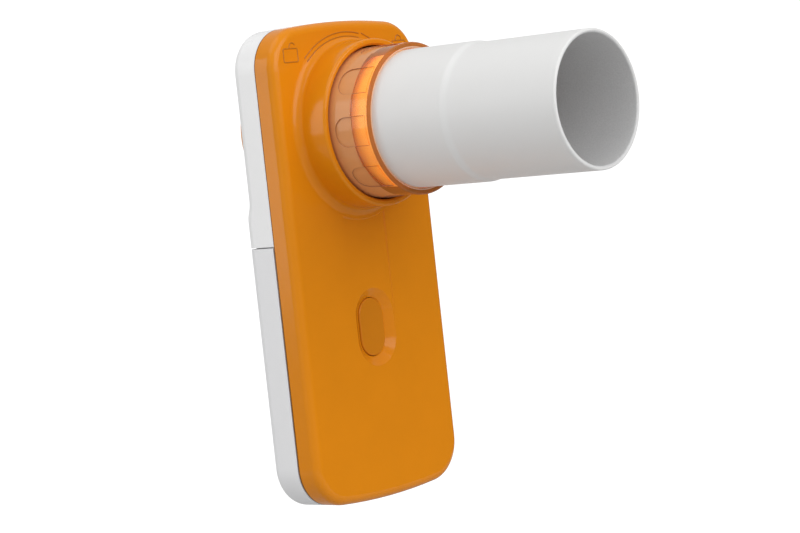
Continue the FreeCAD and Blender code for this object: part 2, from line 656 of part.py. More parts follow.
def keyhole(sketch, width, rise, radius):
    """Strip from the sketch's own foot up to an arc round a middle at some rise."""
    half = number(width) / 2
    axis = number(rise)
    drop = math.sqrt(number(radius) ** 2 - half ** 2)
    lean = math.atan2(drop, half)
    corners = [
        Vector(-half, axis - drop, 0),
        Vector(-half, 0, 0),
        Vector(half, 0, 0),
        Vector(half, axis - drop, 0),
    ]
    for start, end in zip(corners, corners[1:]):
        sketch.addGeometry(Part.LineSegment(start, end), False)
    rim = Part.Circle(Vector(0, axis, 0), Vector(0, 0, 1), number(radius))
    arc = sketch.addGeometry(Part.ArcOfCircle(rim, math.pi + lean, 2 * math.pi - lean), False)
    for index in range(2):
        sketch.addConstraint(Sketcher.Constraint("Coincident", index, 2, index + 1, 1))
    sketch.addConstraint(Sketcher.Constraint("Coincident", 2, 2, arc, 2))
    sketch.addConstraint(Sketcher.Constraint("Coincident", 0, 1, arc, 1))
    pin(sketch, arc, 3, "0", rise)
    size(sketch, "Radius", arc, radius)
    pin(sketch, 1, 1, f"-{width} / 2", "0")
    pin(sketch, 1, 2, f"{width} / 2", "0")
    sketch.addConstraint(Sketcher.Constraint("Vertical", 0))
    sketch.addConstraint(Sketcher.Constraint("Vertical", 2))
    return sketch


def back_shell():
    """Pale rear shell: the upper back and, below the seam, the tray that holds the cells."""
    body = new_body("back_shell")
    skin = outline(facing(body, "BackOutline", "0"), "0", low=SKIN_FOOT)
    block = pad(body, "BackBlock", skin, PARTING)
    step_foot = f"({SEAM} + Sizes.step_rise)"
    step_head = f"({SEAM} + Sizes.step_rise + Sizes.step_length)"
    beyond = f"({BODY_HEIGHT} + {CUT_MARGIN})"
    step = new_sketch(body, "StepProfile", "YZ_Plane", ("0", "0", "0"))
    slope(step, step_foot, step_head, "Sizes.back_step", beyond)
    stepped = pocket(body, "BackStep", step, f"Sizes.body_width + {CUT_MARGIN}", Midplane=True)
    fillet(body, "BackRounding", stepped, rear_rim, "Sizes.back_rounding")

    tongue_inset = "(Sizes.wall - Sizes.tongue_wall)"
    tongue_root = facing(body, "TongueOutline", f"{PARTING} - Sizes.wall")
    outline(tongue_root, tongue_inset, low=SKIN_FOOT)
    pad(body, "Tongue", tongue_root, "Sizes.tongue_reach + Sizes.wall")
    tray = outline(facing(body, "TrayOutline", TRAY_BACK), TRAY_INSET, high=TRAY_TOP)
    pad(body, "Tray", tray, f"{TRAY_FRONT} - {TRAY_BACK}")

    chamber = outline(facing(body, "ChamberOutline", "Sizes.inner_depth"), "Sizes.wall", low=TRAY_TOP)
    pocket(body, "Chamber", chamber, "Sizes.face_depth", Reversed=True)
    chamber_foot = f"({TROUGH_TOP} + Sizes.wall)"
    inner_half = f"({HALF_WIDTH} - {TRAY_INSET} - Sizes.wall)"
    lobby = facing(body, "LobbyOutline", "Sizes.inner_depth")
    rectangle(lobby, f"-{inner_half}", inner_half, chamber_foot, f"{TRAY_TOP} + {OVERLAP}")
    pocket(body, "Lobby", lobby, "Sizes.face_depth", Reversed=True)

    # Two troughs open to the back for the cells, and one open to the front for the board's leg.
    troughs = facing(body, "TroughOutlines", "0")
    for side in ("-", ""):
        near = f"{side}({CELL_OFFSET} - {TROUGH_HALF})"
        far = f"{side}({CELL_OFFSET} + {TROUGH_HALF})"
        left, right = (far, near) if side else (near, far)
        rectangle(troughs, left, right, "Sizes.trough_foot", TROUGH_TOP)
    pocket(body, "Troughs", troughs, TROUGH_FLOOR, Reversed=True)
    bay = facing(body, "ContactBayOutline", "0")
    rectangle(bay, f"-{BAY_HALF}", BAY_HALF, "Sizes.bay_foot", f"Sizes.trough_foot + {OVERLAP}")
    bay_floor = f"{CELL_DEPTH} + Sizes.contact_width / 2 + Sizes.slide_gap"
    pocket(body, "ContactBay", bay, bay_floor, Reversed=True)
    # The dish stands into the tray's front, so the tray stays clear of it.
    relief = stadium(
        facing(body, "DishRelief", TRAY_FRONT),
        "Sizes.key_height",
        "(Sizes.dish_width + 2 * Sizes.wall + 2 * Sizes.fit_gap)",
        "(Sizes.dish_length + 2 * Sizes.wall + 2 * Sizes.fit_gap)",
    )
    pocket(body, "DishRoom", relief, f"{TRAY_FRONT} - {DISH_BACK} + Sizes.fit_gap")
    spine_foot = "Sizes.leg_foot - Sizes.slide_gap"
    spine = facing(body, "SpineOutline", TRAY_FRONT)
    rectangle(spine, f"-{SPINE_HALF}", SPINE_HALF, spine_foot, f"{chamber_foot} + {OVERLAP}")
    pocket(body, "Spine", spine, f"{TRAY_FRONT} - Sizes.inner_depth")

    tails = facing(body, "TailSlotOutlines", f"{BOARD_BACK} - Sizes.contact_wall - Sizes.slide_gap")
    for side in ("-", ""):
        near = f"{side}({CELL_OFFSET} - Sizes.contact_rise / 2 - Sizes.slide_gap)"
        far = f"{side}({CELL_OFFSET} + Sizes.contact_rise / 2 + Sizes.slide_gap)"
        left, right = (far, near) if side else (near, far)
        rectangle(tails, left, right, f"{TROUGH_TOP} - {OVERLAP}", f"{chamber_foot} + {OVERLAP}")
    pocket(body, "TailSlots", tails, "Sizes.contact_wall + 2 * Sizes.slide_gap", Reversed=True)

    for name, height in SCREWS:
        post = facing(body, f"{name}PostOutline", "Sizes.inner_depth")
        circle(post, "0", height, "(Sizes.screw_head + Sizes.boss_wall)")
        pad(body, f"{name}Post", post, f"{BOARD_BACK} - Sizes.fit_gap - Sizes.inner_depth")
        sink = facing(body, f"{name}SinkOutline", "0")
        circle(sink, "0", height, "(Sizes.screw_head + Sizes.slide_gap)")
        pocket(body, f"{name}Sink", sink, SCREW_SEAT, Reversed=True)
        hole = facing(body, f"{name}HoleOutline", "0")
        circle(hole, "0", height, "(Sizes.screw_radius + Sizes.fit_gap)")
        pocket(body, f"{name}Hole", hole, "Sizes.face_depth", Reversed=True)

    # Grooves along the tray's sides take the hooks of the battery cover.
    rail_back = f"({RIB_BACK} - Sizes.slide_gap)"
    rails = facing(body, "RailOutlines", rail_back)
    outer = f"({HALF_WIDTH} + {CUT_MARGIN})"
    rail_floor = f"({HALF_WIDTH} - Sizes.wall - Sizes.rib_reach - Sizes.slide_gap)"
    rail_top = f"({SEAM} - Sizes.wall)"
    rectangle(rails, f"-{outer}", f"-{rail_floor}", f"-{CUT_MARGIN}", rail_top)
    rectangle(rails, rail_floor, outer, f"-{CUT_MARGIN}", rail_top)
    pocket(body, "Rails", rails, f"{PARTING} - {rail_back}", Reversed=True)

    outlet = facing(body, "OutletOutline", "0")
    circle(outlet, "0", AXIS, TUNNEL_BORE)
    pocket(body, "Outlet", outlet, f"Sizes.inner_depth + {CUT_MARGIN}", Reversed=True)
    return body


def slope(sketch, foot, head, drop, top):
    """Region behind the stepped back: an S of two equal arcs joins the two levels."""
    low = number(foot)
    high = number(head)
    rise = number(drop)
    length = high - low
    radius = (length ** 2 + rise ** 2) / (4 * rise)
    lean = math.asin(length / 2 / radius)
    up = Vector(0, 0, 1)
    start = Vector(0, low, 0)
    end = Vector(-rise, high, 0)
    far = number(top)
    behind = number(CUT_MARGIN)
    first = Part.ArcOfCircle(Part.Circle(Vector(-radius, low, 0), up, radius), 0, lean)
    second_rim = Part.Circle(Vector(radius - rise, high, 0), up, radius)
    second = Part.ArcOfCircle(second_rim, math.pi, math.pi + lean)
    edges = [
        first,
        second,
        Part.LineSegment(end, Vector(-rise, far, 0)),
        Part.LineSegment(Vector(-rise, far, 0), Vector(behind, far, 0)),
        Part.LineSegment(Vector(behind, far, 0), Vector(behind, low, 0)),
        Part.LineSegment(Vector(behind, low, 0), start),
    ]
    for edge in edges:
        sketch.addGeometry(edge, False)
    sketch.addConstraint(Sketcher.Constraint("Tangent", 0, 2, 1, 2))
    sketch.addConstraint(Sketcher.Constraint("Tangent", 1, 1, 2, 1))
    for index, following in ((2, 3), (3, 4), (4, 5)):
        sketch.addConstraint(Sketcher.Constraint("Coincident", index, 2, following, 1))
    sketch.addConstraint(Sketcher.Constraint("Coincident", 5, 2, 0, 1))
    sketch.addConstraint(Sketcher.Constraint("Equal", 0, 1))
    pin(sketch, 0, 1, "0", foot)
    pin(sketch, 2, 1, f"-{drop}", head)
    pin(sketch, 3, 1, f"-{drop}", top)
    pin(sketch, 4, 1, CUT_MARGIN, top)
    pin(sketch, 5, 1, CUT_MARGIN, foot)
    sketch.addConstraint(Sketcher.Constraint("PointOnObject", 0, 3, 5))
    return sketch


def rear_rim(edge):
    """True for the outer edges of the stepped back, apart from the straight one at its foot."""
    low = number(SKIN_FOOT)
    step = -number("Sizes.back_step")
    box = edge.BoundBox
    return box.YMin > step - CLOSE and box.ZMax > low + CLOSE and outer_edge(edge)


def outer_edge(edge):
    """True for an edge on the outline, found by the reach of its middle from the body's middle."""
    middle = edge.valueAt((edge.FirstParameter + edge.LastParameter) / 2)
    side = number(f"{HALF_WIDTH} - Sizes.corner_radius")
    arch = number(f"{BODY_HEIGHT} - Sizes.corner_radius")
    return abs(middle.x) > side or middle.z > arch


def battery_cover():
    """Pale cap over the lower back, sides and foot, which slides down off the tray."""
    body = new_body("battery_cover")
    rim = f"({PARTING} - Sizes.slide_gap)"
    block_outline = outline(facing(body, "CapOutline", "0"), "0", high=SEAM)
    block = pad(body, "CapBlock", block_outline, rim)
    flat = at_depth("0")
    seam = at_level(SEAM)

    def rounded(edge):
        return flat(edge) and not seam(edge)

    fillet(body, "CapRounding", block, rounded, "Sizes.back_rounding")
    cavity = facing(body, "CapCavity", "Sizes.cover_wall")
    outline(cavity, "Sizes.wall", high=f"({SEAM} + {CUT_MARGIN})")
    pocket(body, "CapHollow", cavity, "Sizes.face_depth", Reversed=True)

    hooks = facing(body, "HookOutlines", RIB_BACK)
    outer = f"({HALF_WIDTH} - Sizes.wall / 2)"
    inner = f"({HALF_WIDTH} - Sizes.wall - Sizes.rib_reach)"
    hook_foot = "(Sizes.corner_radius + Sizes.wall)"
    hook_top = f"({SEAM} - 2 * Sizes.wall)"
    rectangle(hooks, f"-{outer}", f"-{inner}", hook_foot, hook_top)
    rectangle(hooks, inner, outer, hook_foot, hook_top)
    pad(body, "Hooks", hooks, "Sizes.rib_width")

    thumb = facing(body, "ThumbGroove", "0")
    lowest = "(Sizes.thumb_height - (Sizes.thumb_ridges - 1) / 2 * Sizes.thumb_pitch)"
    half_long = "Sizes.thumb_width / 2"
    half_high = "Sizes.thumb_groove / 2"
    rectangle(thumb, f"-{half_long}", half_long, f"{lowest} - {half_high}", f"{lowest} + {half_high}")
    cut = pocket(body, "ThumbCut", thumb, "Sizes.thumb_sink", Reversed=True)
    row = body.newObject("PartDesign::LinearPattern", "ThumbRow")
    row.Originals = [cut]
    row.Direction = (own(body, "Z_Axis"), [""])
    row.setExpression("Length", "(Sizes.thumb_ridges - 1) * Sizes.thumb_pitch")
    row.setExpression("Occurrences", "Sizes.thumb_ridges")
    body.Tip = row
    doc.recompute()
    return body


def power_key():
    """Key in the dish, held behind the cover by its rim."""
    body = new_body("power_key")
    cap = facing(body, "KeyOutline", KEY_BACK)
    stadium(cap, "Sizes.key_height", "Sizes.key_width", "Sizes.key_length")
    head = pad(body, "KeyHead", cap, f"{KEY_FRONT} - {KEY_BACK}")
    fillet(body, "KeyRounding", head, at_depth(KEY_FRONT), "Sizes.key_rounding")
    rim = stadium(
        facing(body, "FlangeOutline", KEY_BACK),
        "Sizes.key_height",
        "(Sizes.key_width + 2 * Sizes.key_flange)",
        "(Sizes.key_length + 2 * Sizes.key_flange)",
    )
    pad(body, "KeyFlange", rim, "Sizes.flange_wall")
    return body


def circuit_board():
    """Board with a leg down the middle and two arms beside the tunnel."""
    body = new_body("circuit_board")
    leg = f"({SPINE_HALF} - Sizes.slide_gap - Sizes.fit_gap)"
    arm = f"({HALF_WIDTH} - Sizes.wall - Sizes.board_margin)"
    top = f"({AXIS} + Sizes.board_rise)"
    shape = [
        (f"-{leg}", "Sizes.leg_foot"),
        (leg, "Sizes.leg_foot"),
        (leg, BOARD_SHOULDER),
        (arm, BOARD_SHOULDER),
        (arm, top),
        (f"-{arm}", top),
        (f"-{arm}", BOARD_SHOULDER),
        (f"-{leg}", BOARD_SHOULDER),
    ]
    pad(body, "BoardSheet", polygon(facing(body, "BoardOutline", BOARD_BACK), shape), "Sizes.board_wall")
    cut = facing(body, "BoardCutOutlines", "Sizes.board_front")
    circle(cut, "0", AXIS, "(Sizes.collar_radius + Sizes.slide_gap)")
    pocket(body, "TunnelCut", cut, "Sizes.board_wall")
    for name, height in SCREWS:
        hole = facing(body, f"{name}BoardHole", "Sizes.board_front")
        circle(hole, "0", height, "(Sizes.screw_radius + Sizes.fit_gap)")
        pocket(body, f"{name}BoardCut", hole, "Sizes.board_wall")
    return body


def block_on_board(label, middle, width, height, rise):
    """Rectangular part on the middle line of the board's back, with bevelled edges."""
    body = new_body(label)
    sketch = facing(body, f"{label}_outline", BOARD_BACK)
    low = f"{middle} - {height} / 2"
    high = f"{middle} + {height} / 2"
    rectangle(sketch, f"-{width} / 2", f"{width} / 2", low, high)
    part = pad(body, f"{label}_block", sketch, rise, Reversed=True)
    chamfer(body, f"{label}_bevel", part, at_depth(f"{BOARD_BACK} - {rise}"), "Sizes.part_bevel")
    return body


def board_capacitors():
    """Row of small capacitors beside the processor, as one group of separate blocks."""
    blocks = []
    row_half = (CAPACITOR_COUNT - 1) / 2
    for place in range(CAPACITOR_COUNT):
        block = doc.addObject("Part::Box", f"Capacitor{place + 1}")
        block.setExpression("Length", "Sizes.capacitor_width")
        block.setExpression("Width", "Sizes.capacitor_reach")
        block.setExpression("Height", "Sizes.capacitor_length")
        left = "-(Sizes.chip_size / 2 + Sizes.capacitor_gap + Sizes.capacitor_width)"
        block.setExpression(".Placement.Base.x", left)
        block.setExpression(".Placement.Base.y", f"-{BOARD_BACK}")
        middle = f"Sizes.chip_height + Sizes.capacitor_pitch * ({place - row_half})"
        block.setExpression(".Placement.Base.z", f"{middle} - Sizes.capacitor_length / 2")
        blocks.append(block)
    group = doc.addObject("Part::Compound", "board_capacitors")
    group.Links = blocks
    return group


def switch_body():
    """Body of the push switch on the front of the board, with a well for its plunger."""
    body = new_body("switch_body")
    half = "Sizes.switch_size / 2"
    base = facing(body, "SwitchOutline", "Sizes.board_front")
    rectangle(base, f"-{half}", half, f"Sizes.key_height - {half}", f"Sizes.key_height + {half}")
    case = pad(body, "SwitchCase", base, "Sizes.switch_reach")
    top = "(Sizes.board_front + Sizes.switch_reach)"
    chamfer(body, "SwitchBevel", case, at_depth(top), "Sizes.part_bevel")
    well = facing(body, "WellOutline", top)
    circle(well, "0", "Sizes.key_height", "(Sizes.plunger_radius + Sizes.fit_gap)")
    pocket(body, "Well", well, "Sizes.plunger_socket")
    return body


def switch_plunger():
    """Plunger between the key and the switch, which moves with the key."""
    body = new_body("switch_plunger")
    well_floor = "Sizes.board_front + Sizes.switch_reach - Sizes.plunger_socket"
    foot = f"({well_floor} + Sizes.key_travel + Sizes.fit_gap)"
    stem = facing(body, "StemOutline", foot)
    circle(stem, "0", "Sizes.key_height", "Sizes.plunger_radius")
    pad(body, "Stem", stem, f"{KEY_BACK} - {foot}")
    return body


def infrared_part(label, side):
    """Emitter or detector: a block beside the tunnel, with a domed lens in the tunnel's window."""
    near = "(Sizes.collar_radius + Sizes.slide_gap)"
    case = doc.addObject("Part::Box", f"{label}_case")
    case.setExpression("Length", "Sizes.lamp_wall")
    case.setExpression("Width", "Sizes.lamp_width")
    case.setExpression("Height", "Sizes.lamp_width")
    left = near if side > 0 else f"-({near} + Sizes.lamp_wall)"
    case.setExpression(".Placement.Base.x", left)
    case.setExpression(".Placement.Base.y", f"-{BOARD_BACK}")
    case.setExpression(".Placement.Base.z", f"{AXIS} - Sizes.lamp_width / 2")
    lens = doc.addObject("Part::Sphere", f"{label}_lens")
    lens.setExpression("Radius", "Sizes.lens_radius")
    lens.setExpression(".Placement.Base.x", near if side > 0 else f"-{near}")
    lens.setExpression(".Placement.Base.y", "-Sizes.beam_depth")
    lens.setExpression(".Placement.Base.z", AXIS)
    fused = doc.addObject("Part::Fuse", label)
    fused.Base = case
    fused.Tool = lens
    return fused


def cell(label, side, foot, upright):
    """One AAA cell: a can with rolled edges, a nub at one end and a flat at the other."""
    body = new_body(label)
    half = new_sketch(body, f"{label}_profile", "XZ_Plane", ("0", "0", "0"))
    can = "(Sizes.cell_length - Sizes.nub_length)"
    step = "Sizes.nub_length"
    profile = [
        ("0", "0"),
        ("(Sizes.cell_radius - Sizes.cell_bevel)", "0"),
        ("Sizes.cell_radius", "Sizes.cell_bevel"),
        ("Sizes.cell_radius", f"{can} - Sizes.cell_bevel"),
        ("(Sizes.cell_radius - Sizes.cell_bevel)", can),
        ("Sizes.nub_radius", can),
        ("Sizes.nub_radius", f"{can} + {step}"),
        ("0", f"{can} + {step}"),
    ]
    polygon(half, profile)
    feature(
        body,
        "PartDesign::Revolution",
        f"{label}_can",
        half,
        ReferenceAxis=(half, ["V_Axis"]),
        Angle="360",
    )
    body.setExpression(".Placement.Base.x", f"{side}{CELL_OFFSET}")
    body.setExpression(".Placement.Base.y", f"-{CELL_DEPTH}")
    if upright:
        body.setExpression(".Placement.Base.z", f"{foot} - Sizes.grip_height")
    else:
        body.Placement = Placement(Vector(), Rotation(Vector(1, 0, 0), 180))
        body.setExpression(".Placement.Base.z", f"{foot} + Sizes.cell_length - Sizes.grip_height")
    return body


def contact_sheet(body, name, left, right, low):
    """Flat sheet that stands across the ends of the cells."""
    sketch = level(body, name, low)
    near = f"-({CELL_DEPTH} + Sizes.contact_width / 2)"
    far = f"-({CELL_DEPTH} - Sizes.contact_width / 2)"
    return rectangle(sketch, left, right, near, far)


def bridge_contact():
    """Strip that joins the cells at their foot, with a raised leaf under the right one's nub."""
    body = new_body("bridge_contact")
    reach = f"({CELL_OFFSET} + Sizes.contact_width / 2)"
    strip = contact_sheet(body, "BridgeOutline", f"-{reach}", reach, "Sizes.bay_foot")
    pad(body, "BridgeStrip", strip, "Sizes.contact_wall")
    leaf = new_sketch(body, "LeafProfile", "XZ_Plane", ("0", "0", f"{CELL_DEPTH} - Sizes.nub_radius"))
    inner = f"({CELL_OFFSET} - Sizes.contact_rise)"
    outer = f"({CELL_OFFSET} + Sizes.contact_rise)"
    base = "(Sizes.bay_foot + Sizes.contact_wall / 2)"
    crown = "(Sizes.bay_foot + Sizes.contact_wall + Sizes.contact_rise)"
    thick = "Sizes.contact_wall"
    profile = [
        (f"{inner} - {thick}", base),
        (inner, base),
        (f"{inner} + {thick}", f"{crown} - {thick}"),
        (f"{outer} - {thick}", f"{crown} - {thick}"),
        (outer, base),
        (f"{outer} + {thick}", base),
        (outer, crown),
        (inner, crown),
    ]
    pad(body, "BridgeLeaf", polygon(leaf, profile), "2 * Sizes.nub_radius")
    return body


def top_contact(label, side):
    """Plate across a cell's upper end, with a tail that reaches the board."""
    body = new_body(label)
    half = "Sizes.contact_width / 2"
    low = f"({TROUGH_TOP} - Sizes.contact_wall)"
    middle = f"{side}{CELL_OFFSET}"
    plate = contact_sheet(body, f"{label}_outline", f"{middle} - {half}", f"{middle} + {half}", low)
    pad(body, f"{label}_plate", plate, "Sizes.contact_wall")
    tail = facing(body, f"{label}_tail_outline", f"{BOARD_BACK} - Sizes.contact_wall")
    tail_half = "Sizes.contact_rise / 2"
    rectangle(
        tail,
        f"{middle} - {tail_half}",
        f"{middle} + {tail_half}",
        low,
        f"({BOARD_SHOULDER} + 2 * Sizes.contact_rise)",
    )
    pad(body, f"{label}_tail", tail, "Sizes.contact_wall")
    return body


def positive_contact():
    """Upper contact of the left cell, with a raised leaf on its nub."""
    body = top_contact("positive_contact", "-")
    leaf = new_sketch(body, "TopLeafProfile", "XZ_Plane", ("0", "0", f"{CELL_DEPTH} - Sizes.nub_radius"))
    inner = f"(-{CELL_OFFSET} - Sizes.contact_rise)"
    outer = f"(-{CELL_OFFSET} + Sizes.contact_rise)"
    base = f"({TROUGH_TOP} - Sizes.contact_wall / 2)"
    crown = f"({TROUGH_TOP} - Sizes.contact_wall - Sizes.contact_rise)"
    thick = "Sizes.contact_wall"
    profile = [
        (f"{inner} - {thick}", base),
        (inner, crown),
        (outer, crown),
        (f"{outer} + {thick}", base),
        (outer, base),
        (f"{outer} - {thick}", f"{crown} + {thick}"),
        (f"{inner} + {thick}", f"{crown} + {thick}"),
        (inner, base),
    ]
    pad(body, "TopLeaf", polygon(leaf, profile), "2 * Sizes.nub_radius")
    return body


def contact_spring(label, side, foot):
    """Coil spring on a cell's flat end: a wire with a six-sided section, swept up a helix."""
    body = new_body(label)
    wire = facing(body, f"{label}_wire", "0")
    flank = "Sizes.spring_wire * sqrt(3) / 2"
    half = "Sizes.spring_wire / 2"
    hexagon = [
        (f"Sizes.spring_radius - {flank}", half),
        ("Sizes.spring_radius", "0"),
        (f"Sizes.spring_radius + {flank}", half),
        (f"Sizes.spring_radius + {flank}", f"3 * {half}"),
        ("Sizes.spring_radius", f"4 * {half}"),
        (f"Sizes.spring_radius - {flank}", f"3 * {half}"),
    ]
    polygon(wire, hexagon)
    winding = body.newObject("PartDesign::AdditiveHelix", f"{label}_winding")
    winding.Profile = wire
    winding.ReferenceAxis = (wire, ["V_Axis"])
    winding.Mode = 1
    winding.setExpression("Pitch", "(Sizes.spring_length - 2 * Sizes.spring_wire) / Sizes.spring_turns")
    winding.setExpression("Height", "Sizes.spring_length - 2 * Sizes.spring_wire")
    doc.recompute()
    body.setExpression(".Placement.Base.x", f"{side}{CELL_OFFSET}")
    body.setExpression(".Placement.Base.y", f"-{CELL_DEPTH}")
    body.setExpression(".Placement.Base.z", f"{foot} - Sizes.grip_height")
    return body


def housing_screws():
    """The two casing screws, driven in from the back under the battery cover."""
    screws = []
    for name, height in SCREWS:
        body = new_body(f"{name}Screw")
        head = facing(body, f"{name}HeadOutline", f"{SCREW_SEAT} - Sizes.screw_head_height")
        circle(head, "0", height, "Sizes.screw_head")
        pad(body, f"{name}Head", head, "Sizes.screw_head_height")
        shank = facing(body, f"{name}ShankOutline", SCREW_SEAT)
        circle(shank, "0", height, "Sizes.screw_radius")
        pad(body, f"{name}Shank", shank, "Sizes.screw_length")
        slot = facing(body, f"{name}SlotOutline", f"{SCREW_SEAT} - Sizes.screw_head_height")
        half_long = "Sizes.screw_slot_length / 2"
        half_high = "Sizes.screw_slot_width / 2"
        rectangle(slot, f"-{half_long}", half_long, f"{height} - {half_high}", f"{height} + {half_high}")
        pocket(body, f"{name}Slot", slot, "Sizes.screw_slot_sink", Reversed=True)
        screws.append(body)
    group = doc.addObject("Part::Compound", "housing_screws")
    group.Links = screws
    return group


def turbine_housing():
    """Clear turbine tube: grip ring with nine thumb pads, socket, barrel and three bayonet lugs."""
    body = new_body("turbine_housing")
    shoulder = "(Sizes.tunnel_shoulder + Sizes.slide_gap)"
    rear = "-Sizes.rear_reach"
    tube = section(body, "TubeProfile")
    profile = [
        ("Sizes.grip_front", SOCKET_RADIUS),
        ("Sizes.grip_front", "Sizes.grip_radius"),
        (shoulder, "Sizes.grip_radius"),
        (shoulder, "Sizes.barrel_radius"),
        (rear, "Sizes.barrel_radius"),
        (rear, "Sizes.front_bore"),
        ("Sizes.rear_seat", "Sizes.front_bore"),
        ("Sizes.rear_seat", "Sizes.airway_radius"),
        ("Sizes.front_seat", "Sizes.airway_radius"),
        ("Sizes.front_seat", "Sizes.front_bore"),
        (SOCKET_FLOOR, "Sizes.front_bore"),
        (SOCKET_FLOOR, SOCKET_RADIUS),
    ]
    turned = revolve(body, "Tube", lathe(tube, profile))
    rims = either(
        hoop("Sizes.grip_radius", "Sizes.grip_front"),
        hoop(SOCKET_RADIUS, "Sizes.grip_front"),
        hoop("Sizes.barrel_radius", rear),
    )
    chamfer(body, "TubeRims", turned, rims, "Sizes.rim_bevel")

    lug = section(body, "LugProfile")
    root = f"(Sizes.barrel_radius - {OVERLAP})"
    crest = "(Sizes.barrel_radius + Sizes.lug_reach)"
    lug_front = "(Sizes.lug_depth + Sizes.lug_width / 2)"
    lug_back = "(Sizes.lug_depth - Sizes.lug_width / 2)"
    lathe(lug, [(lug_front, root), (lug_front, crest), (lug_back, crest), (lug_back, root)])
    one_lug = revolve(body, "Lug", lug, "Sizes.lug_angle", Midplane=True)
    around(body, "Lugs", [one_lug], (lug, ["H_Axis"]), "Sizes.lug_count")

    pad_front = "(Sizes.grip_front - Sizes.pad_start)"
    pad_back = "(Sizes.grip_front - Sizes.pad_start - Sizes.pad_length)"
    pad_floor = "(Sizes.grip_radius - Sizes.pad_sink)"
    above = f"(Sizes.grip_radius + {CUT_MARGIN})"
    dent = section(body, "PadProfile", "0", "Sizes.pad_turn")
    lathe(dent, [(pad_front, pad_floor), (pad_front, above), (pad_back, above), (pad_back, pad_floor)])
    one_pad = groove(body, "Pad", dent, "Sizes.pad_angle", Midplane=True)
    pads = around(body, "Pads", [one_pad], (dent, ["H_Axis"]), "Sizes.pad_count")
    fillet(body, "PadEnds", pads, pad_corner(pad_back), "Sizes.pad_end_radius")
    return body


def pad_corner(depth):
    """Test for the short radial edges at the round end of the thumb pads."""
    flat = at_depth(depth)
    crest = number("Sizes.grip_radius")
    sink = number("Sizes.pad_sink")

    def wanted(edge):
        return flat(edge) and abs(edge.Length - sink) < CLOSE and reach(edge) < crest + CLOSE

    return wanted


def reach(edge):
    """Distance from the airway axis of an edge's far end."""
    return max(math.hypot(vertex.Point.x, vertex.Point.z) for vertex in edge.Vertexes)


def swirler(label, front, length, towards):
    """Ring, hub and leaning vanes that set the breath turning, with a seat for a pivot bearing.

    towards is 1 where the hub's nose points forward and -1 where it points back.
    """
    body = new_body(label)
    back = f"({front} - {length})"
    ring = section(body, f"{label}_ring_profile")
    outer = "(Sizes.front_bore - Sizes.shaft_gap)"
    inner = "(Sizes.front_bore - Sizes.ring_wall)"
    lathe(ring, [(front, inner), (front, outer), (back, outer), (back, inner)])
    revolve(body, f"{label}_ring", ring)
    nose_root, seat = (front, back) if towards > 0 else (back, front)
    sign = "+" if towards > 0 else "-"
    hub = section(body, f"{label}_hub_profile")
    well_end = f"({seat} {sign} (Sizes.bush_length + Sizes.end_float))"
    well_radius = "(Sizes.bush_radius + Sizes.shaft_gap / 2)"
    nose_tip = f"({nose_root} {sign} Sizes.nose_length)"
    profile = [
        (seat, well_radius),
        (seat, "Sizes.hub_radius"),
        (nose_root, "Sizes.hub_radius"),
        (nose_tip, "Sizes.nose_radius"),
        (nose_tip, "0"),
        (well_end, "0"),
        (well_end, well_radius),
    ]
    lathe(hub, profile)
    spindle = body.newObject("PartDesign::Revolution", f"{label}_hub")
    spindle.Profile = hub
    spindle.ReferenceAxis = (hub, ["H_Axis"])
    spindle.Angle = 360
    # The hub is joined to the ring by its vanes, which are made next.
    span = (f"{front} - Sizes.swirl_inset", f"{back} + Sizes.swirl_inset")
    root_radius = "Sizes.hub_radius - Sizes.swirl_bite"
    tip_radius = f"{inner} + Sizes.swirl_bite"
    roots = vane_section(body, f"{label}_vane_root", span, root_radius, "Sizes.swirl_root_lean")
    tips = vane_section(body, f"{label}_vane_tip", span, tip_radius, "Sizes.swirl_tip_lean")
    doc.recompute()
    vane = body.newObject("PartDesign::AdditiveLoft", f"{label}_vane")
    vane.Profile = roots
    vane.Sections = [tips]
    doc.recompute()
    around(body, f"{label}_vanes", [vane], (ring, ["H_Axis"]), "Sizes.swirl_count")
    return body


def vane_section(body, name, span, radius, lean):
    """Leaning section of a vane at a radius from the axis, seen from outside."""
    sketch = level(body, name, radius)
    half = "Sizes.swirl_wall / 2"
    front, back = span
    profile = [
        (f"-{lean} / 2 - {half}", f"-({front})"),
        (f"-{lean} / 2 + {half}", f"-({front})"),
        (f"{lean} / 2 + {half}", f"-({back})"),
        (f"{lean} / 2 - {half}", f"-({back})"),
    ]
    return polygon(sketch, profile)


def pivot_bearing(label, mouth, towards):
    """Bush that holds one end of the rotor shaft."""
    body = new_body(label)
    sign = "+" if towards > 0 else "-"
    far = f"({mouth} {sign} Sizes.bush_length)"
    profile = section(body, f"{label}_profile")
    bore = "(Sizes.shaft_radius + Sizes.shaft_gap)"
    lathe(profile, [(mouth, bore), (mouth, "Sizes.bush_radius"), (far, "Sizes.bush_radius"), (far, bore)])
    revolve(body, f"{label}_bush", profile)
    return body


def rotor_shaft():
    """Steel shaft whose ends stand in the two bearings."""
    shaft = doc.addObject("Part::Cylinder", "rotor_shaft")
    shaft.setExpression("Radius", "Sizes.shaft_radius")
    shaft.setExpression("Height", "Sizes.front_seat - Sizes.rear_seat + 2 * Sizes.bush_length")
    shaft.Placement = Placement(Vector(), Rotation(Vector(1, 0, 0), 90))
    shaft.setExpression(".Placement.Base.y", "Sizes.bush_length - Sizes.rear_seat")
    return shaft


